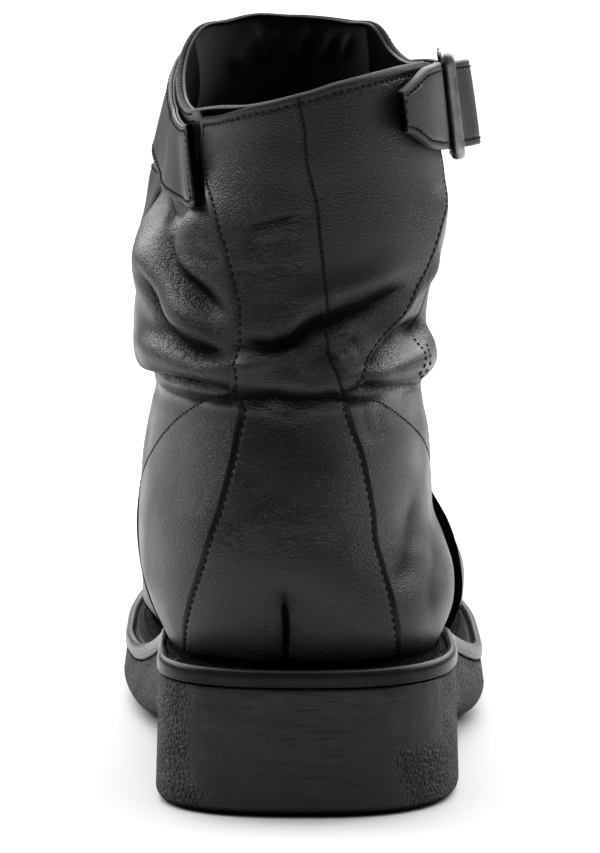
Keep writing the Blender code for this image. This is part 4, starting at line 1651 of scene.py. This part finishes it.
@dataclass
class Vamp(Overlay):
    """The thick vamp from its raised back edge round the toe; its edges give only the levels."""

    search_steps: int = 25
    search_share: float = 0.6

    def turns(self, level: Array) -> tuple[Array, Array]:
        """Finds the turns of the back edge.

        Args:
            level: Levels.

        Returns:
            Those on the outer side and, past the toe, those on the inner side.
        """
        row = self.form.section(level)
        found = []
        for side in (Side.OUTER, Side.INNER):
            turn = np.full(level.shape, 90.0)
            for _ in range(self.search_steps):
                z = self.form.bare(level, side.value * turn)[..., 2]
                (edge_y,) = through(VAMP_EDGE, z)
                share = np.clip((edge_y - row.back_y) / (row.front_y - row.back_y), 0.01, 0.99)
                turn = mix(turn, np.degrees(np.arccos(1.0 - 2.0 * share)), self.search_share)
            found.append(turn)
        return found[0], 360.0 - found[1]


@dataclass
class StrapForm:
    """The collar strap's inner face along its way round the boot."""

    form: UpperForm
    thick: float = 2.0
    tip_half: float = 4.8
    tip_run: float = 16.0
    tip_power: float = 1.6
    end_skew: float = 26.0
    skew_run: float = 34.0
    search_margin: float = 3.0
    facing_depth: float = 1.5

    def at_height(self, turn: Array, z: Array) -> Array:
        """Returns points of the shaft's outer face at turns and heights."""
        low = self.form.collar_shape_from - self.search_margin
        return self.form.outer(self.form.level_at(turn, z, low), turn)

    def line(self, way: Array) -> tuple[Array, Array, Array]:
        """Lays out the strap's inner face.

        Args:
            way: Ways round the boot, in degrees.

        Returns:
            The lower edge, the upper edge and the directions out.
        """
        rounds, *columns = np.array(STRAP_PATH).T
        away, drop, width, lean = (np.interp(way, rounds, column) for column in columns)
        skew = self.end_skew * (1.0 - smooth((way - STRAP_PATH[0].round) / self.skew_run))
        top_z = self.form.outer(np.full(way.shape, float(TOP)), -way)[..., 2] - drop
        top = self.at_height(-way, top_z)
        bottom = self.at_height(skew - way, top_z - width)
        level = np.full(way.shape, TOP - self.facing_depth)
        out = unit(self.form.normal(self.form.outer, level, 0.5 * skew - way) * (1.0, 1.0, 0.0))
        return bottom + out * (away - lean)[:, None], top + out * away[:, None], out


@dataclass
class CollarStrap:
    """The strap from its sewn end round the front to the free tip past the buckle."""

    shop: Workshop
    strap: StrapForm
    stitching: Stitching
    samples: int = 420
    edge_round: float = 0.55
    stitch_inset: float = 1.8
    hole_way: float = 243.0
    bar_way: float = 278.0
    bend_way: float = 90.0
    tip_slant: float = 1.4
    hole_radius: float = 1.6
    hole_depth: float = 1.6
    hole_fade: float = 0.7
    bend_depth: float = 0.25
    crown: float = 0.15
    groove: float = 0.22
    groove_half: float = 0.5
    face_half: float = 0.7
    smooth_over: int = 9
    finish: LeatherFinish = LeatherFinish(
        "strap_leather",
        (0.005, 0.005, 0.0053),
        (0.008, 0.008, 0.0083),
        roughness=0.42,
        gloss=0.25,
        grain_depth=0.12,
    )

    def frame_of(self) -> tuple[Array, Array, Array, Array, Array]:
        """Lays out the strap's middle line.

        Returns:
            Ways round, middle points, half heights as vectors, directions out and distances walked.
        """
        way = np.linspace(STRAP_PATH[0].round, STRAP_PATH[-1].round, self.samples)
        bottom, top, out = self.strap.line(way)
        middle, reach = (bottom + top) / 2.0, (top - bottom) / 2.0
        kernel = np.ones(self.smooth_over) / float(self.smooth_over)
        beside = self.smooth_over // 2
        kept = slice(beside + 1, -beside - 1)
        for values in (middle, reach, out):
            padded = np.pad(values, ((beside, beside), (0, 0)), mode="edge")
            columns = [np.convolve(column, kernel, "valid") for column in padded.T]
            values[kept] = np.stack(columns, -1)[kept]
        return way, middle, reach, unit(out), run_length(middle, 0)

    def ring(self) -> Array:
        """Draws the strap's cross-section.

        Returns:
            Rows of share of the half width, step in from the edge, and depth.
        """
        r, t, inset = self.edge_round, self.strap.thick, self.stitch_inset
        flank = [
            (-1.0, r, 0.0),
            (-1.0, 0.0, r * 0.6),
            (-1.0, 0.0, t * 0.46),
            (-1.0, 0.25, t * 0.5),
            (-1.0, 0.0, t * 0.54),
            (-1.0, 0.0, t - r),
            (-1.0, r * 0.3, t - r * 0.3),
            (-1.0, r, t),
            (-1.0, inset - self.groove_half, t),
            (-1.0, inset, t - self.groove),
            (-1.0, inset + self.groove_half, t),
        ]
        spread = np.linspace(-self.face_half, self.face_half, 15)
        face = [(side, 0.0, t + self.crown * (1.0 - side * side)) for side in spread]
        mirror = [(1.0, step, depth) for _, step, depth in reversed(flank)]
        back = [(side, 0.0, 0.0) for side in np.linspace(self.face_half, -self.face_half, 7)]
        return np.array(flank + face + mirror + back)

    def closed(self, points: Array) -> tuple[Array, Array]:
        """Closes both ends of the strap with fans of faces.

        Args:
            points: Rings of points along the strap.

        Returns:
            All points, with the two ends' middles last, and the faces.
        """
        rings, count = points.shape[:2]
        flat = points.reshape(-1, 3)
        faces = [tuple(face) for face in grid_faces(rings, count, ROUND).tolist()]
        for start, flip in ((0, False), ((rings - 1) * count, True)):
            centre = len(flat)
            flat = np.concatenate([flat, flat[start : start + count].mean(0, keepdims=True)])
            for i in range(count):
                pair = (start + i, start + (i + 1) % count)
                faces.append((*(pair[::-1] if flip else pair), centre))
        return flat, np.array(faces, dtype=object)

    def build(self) -> None:
        """Builds the strap with its stitches and its hole."""
        way, middle, reach, out, at = self.frame_of()
        to_tip = at[-1] - at
        half = np.linalg.norm(reach, axis=-1)
        opened = 1.0 - (1.0 - np.minimum(1.0, to_tip / self.strap.tip_run)) ** self.strap.tip_power
        half, up = half * mix(self.strap.tip_half / half, 1.0, opened), unit(reach)
        side, step, depth = self.ring().T
        thick, on_edge = self.strap.thick, np.abs(side) == 1.0
        across = side * half[:, None] - np.where(on_edge, side * step, 0.0)
        end = np.minimum(at, to_tip)
        blunt = np.sqrt(1.0 - (1.0 - np.clip(end / 0.7, 0.0, 1.0)) ** 2)
        deep = thick / 2.0 + (depth - thick / 2.0) * mix(0.55, 1.0, blunt)[:, None]
        off = np.hypot(at[:, None] - np.interp(self.hole_way, way, at), across)
        hole = 1.0 - smooth((off - self.hole_radius + self.hole_fade / 2.0) / self.hole_fade)
        hole = hole * (depth > thick * 0.8)
        past_bend, past_bar = way - self.bend_way, at - np.interp(self.bar_way, way, at)
        deep = deep - self.hole_depth * hole
        deep = deep - self.bend_depth * np.exp(-((past_bend / 2.4) ** 2))[:, None]
        points = middle[:, None] + up[:, None] * across[..., None] + out[:, None] * deep[..., None]
        ending = self.tip_slant * (1.0 - smooth(to_tip / 8.0))[:, None]
        slant = ending * (across / half[:, None] - 1.0) / 2.0
        points = points + unit(np.gradient(middle, axis=0))[:, None] * slant[..., None]
        # Painted shade lies under the bar and fades along the tail; a faint line of painted shade
        # lies in the bend.
        under = 0.5 * smooth((past_bar + 6.0) / 4.0) * (1.0 - smooth((past_bar - 6.0) / 18.0))
        under = under + 0.3 * np.exp(-((past_bend / 2.0) ** 2))
        marks = {
            "margin": np.broadcast_to(on_edge & (depth < thick - 0.1), across.shape) * 0.7,
            # The hole is darkened with painted shade, and the cut ends are dark.
            "dark_edge_and_painted_shade": np.maximum(hole, 1.0 - smooth((end - 0.3) / 0.5)[:, None]),
            "painted_shade": np.repeat(under[:, None], len(side), 1),
        }
        for key, value in marks.items():
            marks[key] = np.concatenate([value.reshape(-1), [float(key == "dark_edge_and_painted_shade")] * 2])
        flat, faces = self.closed(points)
        name, node, slot = "collar_strap_leather", "collar_strap", Slot.STRAP_LEATHER
        self.shop.piece(name, flat, faces, self.finish, slot, node, marks)
        self.sew(middle, up, out, half, at, to_tip)

    def sew(
        self, middle: Array, up: Array, out: Array, half: Array, at: Array, to_tip: Array
    ) -> None:
        """Sews both edges and both ends of the strap.

        Args:
            middle: Points of the middle line.
            up: Directions up the strap.
            out: Directions out of the leather.
            half: Half heights.
            at: Distances from the sewn end.
            to_tip: Distances from the tip.
        """
        face = out * (self.strap.thick + 0.02)
        keep = (at > self.stitch_inset) & (to_tip > self.stitch_inset)
        lines = []
        for sign in (-1.0, 1.0):
            row = middle + up * (sign * (half - self.stitch_inset))[:, None] + face
            lines.append((row[keep], out[keep]))
        for walked in (at, to_tip):
            i = int(np.argmin(np.abs(walked - self.stitch_inset)))
            spread = np.linspace(-1.0, 1.0, 30)[:, None] * (half[i] - self.stitch_inset)
            lines.append((middle[i] + face[i] + up[i] * spread, np.repeat(out[i][None], 30, 0)))
        self.stitching.sew("strap_stitches", lines, Slot.STRAP_LEATHER)


@dataclass
class Buckle:
    """The plain frame that the strap is threaded through."""

    shop: Workshop
    strap: StrapForm
    near_way: float = 278.0
    far_way: float = 261.0
    near_radius: float = 1.7
    far_radius: float = 1.2
    side_radius: float = 0.95
    clear: float = 0.1
    lift: float = 0.9
    corner: float = 2.4
    spacing: float = 0.7
    fullness: float = 0.8
    finish: MetalFinish = MetalFinish("gunmetal")

    def fuller(self, wave: Array) -> Array:
        """Returns a wave with fuller shoulders, for a bar that is a little square."""
        return np.sign(wave) * np.abs(wave) ** self.fullness

    def build(self) -> None:
        """Builds the frame as one bar bent round four corners."""
        low, top, outs = self.strap.line(np.array([self.near_way, self.far_way]))
        over = self.strap.thick + self.clear + self.near_radius
        near = (low[0] + top[0]) / 2.0 + outs[0] * over
        far = (low[1] + top[1]) / 2.0 - outs[1] * (self.clear + self.far_radius)
        strap_half = np.linalg.norm(top[0] - low[0]) / 2.0
        up = (top[0] - low[0]) / (2.0 * strap_half)
        rise = np.dot(far - near, up)
        across = far - near - up * rise
        span = np.linalg.norm(across) / 2.0
        across = across / (2.0 * span)
        out = np.cross(across, up)
        tall = strap_half + abs(rise) / 2.0 + self.side_radius
        path = []
        corners = ((-1.0, -1.0, 180.0), (1.0, -1.0, 270.0), (1.0, 1.0, 0.0), (-1.0, 1.0, 90.0))
        for side, end, start in corners:
            for angle in np.radians(np.linspace(start, start + 90.0, 14)):
                along = side * (span - self.corner) + self.corner * math.cos(angle)
                path.append((along, end * (tall - self.corner) + self.corner * math.sin(angle)))
        path = np.array(path)
        fill = []
        for first, second in zip(path, np.roll(path, -1, 0)):
            count = max(1, int(np.linalg.norm(second - first) / self.spacing))
            fill += [mix(first, second, i / count) for i in range(count)]
        path = np.array(fill)
        run = unit(np.roll(path, -1, 0) - np.roll(path, 1, 0))
        outward = across[None] * run[:, 1:] - up[None] * run[:, :1]
        bar = np.where(path[:, 0] < 0.0, self.near_radius, self.far_radius)
        radius = mix(self.side_radius, bar, smooth(2.0 * np.abs(path[:, 0]) / span - 1.0))
        turn = np.linspace(0.0, 2.0 * np.pi, 20, endpoint=False)
        wide = radius[:, None] * self.fuller(np.cos(turn))
        deep = bar[:, None] * self.fuller(np.sin(turn))
        centre = (near + far) / 2.0 + path[:, :1] * across + (path[:, 1:] + self.lift) * up
        rings = centre[:, None] + outward[:, None] * wide[..., None] + out * deep[..., None]
        slot = Slot.GUNMETAL
        self.shop.sheet("buckle_frame_metal", rings, self.finish, slot, "buckle_frame", closed=RING)


@dataclass
class Sole:
    """The crepe sole unit, the welt with its ledge, and the insole."""

    shop: Workshop
    sole: SoleForm
    form: UpperForm
    stitching: Stitching
    flare: float = 0.9
    heel_round: float = 3.2
    forefoot_round: float = 8.5
    welt_height: float = 4.4
    welt_overhang: float = 0.5
    welt_lip: float = 2.6
    ledge_drop: float = 0.8
    insole_gap: float = 1.2
    insole_thick: float = 3.0
    insole_curl: float = 0.8
    leather_gap: float = 0.25
    stitched_from: float = 75.0
    stitch_share: float = 0.35
    ledge_shade: float = 0.85
    breast_rows: tuple[float, ...] = (39.2, 39.7, 40.0, 40.4, 41.5, 42.6, 43.0, 43.4, 44.0)
    crepe: RubberFinish = RubberFinish("crepe_rubber")
    rand: RubberFinish = RubberFinish(
        "welt_rubber",
        (0.007, 0.007, 0.0073),
        (0.02, 0.02, 0.02),
        roughness=0.28,
        pebble_depth=0.6,
        pebble_size=1.0,
        line_depth=0.012,
        gloss=0.12,
    )
    cloth: ClothFinish = ClothFinish("insole_cloth", weave=0.9, depth=0.12)

    def build(self) -> None:
        """Builds the unit, the welt and the insole."""
        self.unit()
        self.welt()
        self.insole()

    def half_turns(self) -> Array:
        """Spaces one half of the outline, closer together at the heel's breast.

        Returns:
            Turns from 0 to 180.
        """
        y = np.array(self.breast_rows)
        share = (y - self.sole.back_y) / (self.sole.toe_y - self.sole.back_y)
        breast = np.degrees(np.arccos(1.0 - 2.0 * share))
        return np.unique(np.concatenate([np.linspace(0.0, 180.0, 241), breast]))

    def unit(self) -> None:
        """The sole unit: side wall, under face and top face in one skin."""
        half = self.half_turns()
        turn = np.concatenate([half, -half[-2:0:-1]])
        edge, out = self.sole.edge(turn)
        y = edge[:, 1]
        low, high = self.sole.bottom(y), self.sole.top(y)
        corner = mix(self.heel_round, self.forefoot_round, smooth((y - self.sole.breast_y) / 40.0))
        rows = [(0.0 * y - 0.7, high), (0.0 * y - 0.15, high - 0.12), (0.0 * y, high - 0.6)]
        for share in np.linspace(0.06, 1.0, 22):
            rows.append((self.flare * share, mix(high, low + corner, share)))
        for angle in np.linspace(0.0, math.pi / 2.0, 12)[1:]:
            inward, up = 1.0 - math.cos(angle), 1.0 - math.sin(angle)
            rows.append((self.flare - corner * inward, low + corner * up))
        offsets = np.stack([np.broadcast_to(row[0], y.shape) for row in rows])
        heights = np.stack([row[1] for row in rows])
        wall = np.concatenate([edge + out * offsets[..., None], heights[..., None]], -1)
        count, turns = wall.shape[:2]
        faces = [grid_faces(count, turns, ROUND)]
        points, start = [wall.reshape(-1, 3)], count * turns
        for ring, flip in ((count - 1, False), (0, True)):
            right = np.arange(1, len(half) - 1)
            left = turns - right
            share = np.linspace(0.0, 1.0, 15)[1:-1]
            ends = wall[ring, right][:, None], wall[ring, left][:, None]
            spread = mix(*ends, share[None, :, None])
            inner = np.arange(spread.shape[0] * spread.shape[1]).reshape(spread.shape[:2]) + start
            grid = np.column_stack([ring * turns + right, inner, ring * turns + left])
            corners = [grid[:-1, :-1], grid[1:, :-1], grid[1:, 1:], grid[:-1, 1:]]
            corners = np.stack(corners, -1).reshape(-1, 4)
            faces.append(corners[:, ::-1] if flip else corners)
            for end, at in ((0, 0), (len(half) - 1, -1)):
                fan = [(ring * turns + end, a, b, b) for a, b in zip(grid[at][:-1], grid[at][1:])]
                faces.append(np.array(fan))
            points.append(spread.reshape(-1, 3))
            start += spread.shape[0] * spread.shape[1]
        flat = np.concatenate(points)
        all_faces = [tuple(dict.fromkeys(face)) for face in np.concatenate(faces).tolist()]
        all_faces = np.array(all_faces, dtype=object)
        marks = {"pebble": self.pebbles(flat)}
        slot = Slot.CREPE_RUBBER
        self.shop.piece("sole_unit_crepe", flat, all_faces, self.crepe, slot, "sole_unit", marks)

    def pebbles(self, points: Array) -> Array:
        """Marks the pebbled rubber: corners and sides, not the middle of the heel's back.

        Args:
            points: Points of the sole unit.

        Returns:
            Shares of 0 to 1.
        """
        x, y, z = points.T
        bald_half = np.where(x < 0.0, 32.0, 36.5)
        middle = smooth((bald_half - np.abs(x)) / 5.0) * smooth((-8.0 - y) / 8.0)
        low_outer = smooth((18.0 - z) / 8.0) * smooth((x - 24.0 + 0.4 * z) / 6.0)
        low_inner = smooth((8.0 - z) / 4.0) * smooth((-x - 22.0) / 8.0)
        worn = 0.5 + 0.5 * np.sin(0.31 * y + 0.5 * z + 0.13 * x)
        sides = mix(0.55, 1.0, worn) * (1.0 - middle)
        pebbled = np.maximum(sides, low_outer + low_inner)
        return np.clip(pebbled, 0.0, 1.0) * smooth((z + 1.0) / 2.0)

    def welt(self) -> None:
        """The smooth band round the sole's edge with a rough ledge up to the leather."""
        turn = np.linspace(-180.0, 180.0, 480, endpoint=False)
        edge, out = self.sole.edge(turn)
        base = self.sole.top(edge[:, 1]) + self.form.gap
        low_in, ledge_in = (
            self.form.skin(np.full(turn.shape, level), turn, self.leather_gap)[0]
            for level in (0.0, 0.75)
        )
        room = ((edge - ledge_in[:, :2]) * out).sum(-1)
        squeeze = np.clip(room / (self.welt_lip + self.form.gap), 0.15, 1.0)
        h, o = self.welt_height, self.welt_overhang
        flank = (
            (-0.3, 0.0),
            (0.15, 0.06 * h),
            (o - 0.05, 0.16 * h),
            (o - 0.22, 0.21 * h),
            (o - 0.05, 0.25 * h),
            (o, 0.33 * h),
        )
        rows = [(outward + 0.0 * room, base + up) for outward, up in flank]
        for angle in np.linspace(0.0, math.pi, 13):
            inward = (1.0 - math.cos(angle)) / 2.0 * self.welt_lip
            inward = inward + o * inward / self.welt_lip
            dip = self.ledge_drop * smooth(angle / math.pi - 0.5) * 0.3
            crown = base + h * 0.55 + 0.45 * h * math.sin(angle)
            rows.append((o - inward * squeeze, crown - dip))
        ring = [np.column_stack([edge + out * outward[:, None], z]) for outward, z in rows]
        lip, band_rows = ring[-1], len(ring)
        ledge = base + h - self.ledge_drop
        ring[-1] = np.column_stack([lip[:, :2], ledge - 0.35])
        ledge_out = np.column_stack([lip[:, :2], ledge])
        ledge_in[:, 2] = self.sole.top(ledge_in[:, 1]) + h - self.ledge_drop + self.form.gap
        ring += [mix(ledge_out, ledge_in, share) for share in np.linspace(0.12, 1.0, 9)]
        low_in[:, 2] = self.sole.top(low_in[:, 1]) + self.form.gap
        points = np.stack(ring + [low_in])
        pebble = np.zeros(points.shape[:2])
        pebble[band_rows:-1] = 1.0
        # The rough ledge is darkened with painted shade.
        marks = {"pebble": pebble, "dark_edge_and_painted_shade": self.ledge_shade * pebble}
        self.shop.sheet("welt_band", points, self.rand, Slot.WELT_RUBBER, "welt", marks, RING)
        ledge_row = mix(ring[band_rows], ring[-1], self.stitch_share)
        fore = np.abs(turn) > self.stitched_from
        shift = np.argmax(~fore)
        line = np.roll(ledge_row, -shift, 0)[np.roll(fore, -shift)]
        rows = [(line + 0.15 * UP, np.tile(UP, (len(line), 1)))]
        self.stitching.sew("welt_stitches", rows, Slot.WELT_RUBBER)

    def insole(self) -> None:
        """The insole inside the upper."""
        turn = np.linspace(10.0, 170.0, 90)
        level, inward = np.full(turn.shape, 0.1), -self.form.wall - self.insole_gap
        sides = [self.form.skin(level, side.value * turn, inward)[0] for side in Side]
        low = [(self.sole.top(edge[:, 1]) + self.form.gap)[:, None] for edge in sides]
        share = np.linspace(0.0, 1.0, 25)
        face = mix(sides[0][:, None], sides[1][:, None], share[None, :, None])
        curl = self.insole_curl * (2.0 * share - 1.0) ** 4
        face[..., 2] = mix(*low, share) + self.insole_thick + curl
        under = face[:, ::-1].copy()
        under[..., 2] = mix(*low[::-1], share)
        ring = np.concatenate([face, under], 1)
        self.shop.sheet("insole_cloth", ring, self.cloth, Slot.LINING, "insole", closed=ROUND)


@dataclass
class Studio:
    """Pale floor, soft lights and the camera."""

    camera_at: tuple[float, float, float] = (-1.67, -1100.5, 222.7)
    pitch: float = 6.84
    lens: float = 189.77
    long_side: float = 36.0
    floor_reach: float = 30.0
    floor_colour: Colour = (0.69, 0.69, 0.69)
    floor_pale: Colour = (0.71, 0.71, 0.71)
    bright_way: tuple[float, float, float] = (0.0, 0.72, 0.69)
    bright_range: tuple[float, float] = (-0.7, 0.75)
    brightness: tuple[float, float] = (0.06, 0.35)

    def build(self) -> None:
        """Builds the floor, the lights, the surroundings and the camera."""
        self.floor()
        self.lights()
        self.surroundings()
        self.camera()

    def floor(self) -> None:
        """A wide pale floor with a faint unevenness."""
        r = self.floor_reach
        mesh = bpy.data.meshes.new("floor")
        corners = [(-r, -r, 0.0), (r, -r, 0.0), (r, r, 0.0), (-r, r, 0.0)]
        mesh.from_pydata(corners, [], [(0, 1, 2, 3)])
        shade = Shading("pale_floor")
        colour = shade.tint(shade.noise(300.0), self.floor_colour, self.floor_pale)
        mesh.materials.append(shade.dress(Base_Color=colour, Roughness=0.7, Specular_IOR_Level=0.1))
        made = put("floor", mesh)

    def softbox(
        self, name: str, at: tuple, size: tuple, power: float, aim: tuple = (0.0, 0.05, 0.09)
    ) -> None:
        """Adds one soft light.

        Args:
            name: Its name.
            at: Its place in metres.
            size: Its width and height in metres.
            power: Its power in watts.
            aim: The point that it faces, by default the boot.
        """
        light = bpy.data.lights.new(name, "AREA")
        light.shape, light.size, light.size_y = "RECTANGLE", *size
        light.energy = power
        made = put(name, light)
        made.location = at
        made.rotation_euler = (Vector(aim) - Vector(at)).to_track_quat("-Z", "Y").to_euler()

    def lights(self) -> None:
        """Soft lights above, beside and beyond the boot, and one for the far floor."""
        self.softbox("top_softbox", (0.0, 0.1, 1.3), (1.4, 0.9), 13.0)
        self.softbox("left_softbox", (-0.9, 0.6, 0.95), (1.3, 0.9), 10.5)
        self.softbox("right_softbox", (0.95, 0.6, 0.95), (1.2, 0.9), 8.8)
        self.softbox("back_softbox", (0.0, 1.4, 0.95), (1.4, 0.5), 9.0)
        self.softbox("far_softbox", (0.0, 6.6, 2.6), (10.0, 12.0), 850.0, (0.0, 6.6, 0.0))

    def surroundings(self) -> None:
        """A white surround, bright above and beyond the boot and dim on the camera's side."""
        world = bpy.data.worlds.new("surround")
        bpy.context.scene.world = world
        world.use_nodes = True
        tree = world.node_tree
        place = tree.nodes.new("ShaderNodeTexCoord")
        lean = tree.nodes.new("ShaderNodeVectorMath")
        lean.operation = "DOT_PRODUCT"
        lean.inputs[1].default_value = self.bright_way
        level = tree.nodes.new("ShaderNodeMapRange")
        keys = ("From Min", "From Max", "To Min", "To Max")
        for key, value in zip(keys, self.bright_range + self.brightness):
            level.inputs[key].default_value = value
        tree.links.new(place.outputs["Generated"], lean.inputs[0])
        tree.links.new(lean.outputs["Value"], level.inputs["Value"])
        tree.links.new(level.outputs[0], tree.nodes["Background"].inputs["Strength"])
        tree.nodes["Background"].inputs["Color"].default_value = (1.0, 1.0, 1.0, 1.0)
        bpy.context.scene.view_settings.view_transform = "Standard"

    def camera(self) -> None:
        """The camera straight behind the boot, a little above it."""
        lens = bpy.data.cameras.new("camera")
        lens.lens, lens.sensor_width, lens.sensor_fit = self.lens, self.long_side, "AUTO"
        lens.clip_start, lens.clip_end = 0.05, 100.0
        made = put("camera", lens)
        made.location = Vector(self.camera_at) * METRES
        made.rotation_euler = (math.radians(90.0 - self.pitch), 0.0, 0.0)
        bpy.context.scene.camera = made


@dataclass
class AnkleBoot:
    """The whole boot."""

    shop: Workshop = field(default_factory=Workshop)
    sole: SoleForm = field(default_factory=SoleForm)

    def build(self) -> None:
        """Builds every sub-assembly in a maker's order."""
        form = UpperForm(self.sole, CreaseField(CREASES))
        stitching = Stitching(self.shop)
        strap = StrapForm(form)
        common = (self.shop, form, stitching)
        Sole(self.shop, self.sole, form, stitching).build()
        Upper(*common).build()
        all_round = ("inner", "outer", "high")
        BackStay(
            *common,
            "back_stay_leather",
            "back_stay",
            BACK_STAY,
            rows=230,
            columns=170,
            tucked=("high",),
        ).build()
        ShaftPanel(
            *common,
            "shaft_panel_leather",
            "shaft_back_panel",
            SHAFT_PANEL,
            rows=250,
            columns=270,
            sewn=all_round,
            band=0.15,
        ).build()
        Vamp(
            *common,
            "vamp_leather",
            "vamp",
            VAMP_LEVELS,
            rows=120,
            columns=240,
            thick=2.45,
            sewn=all_round,
            margin=2.8,
            cut_shade=1.0,
            cut_width=1.4,
            flare=(2.0, 0.6),
        ).build()
        CollarStrap(self.shop, strap, stitching).build()
        Buckle(self.shop, strap).build()


def main() -> None:
    """Builds the boot and its studio."""
    logging.basicConfig(level=logging.INFO, format="%(name)s %(message)s")
    AnkleBoot().build()
    Studio().build()


if __name__ == "__main__":
    main()
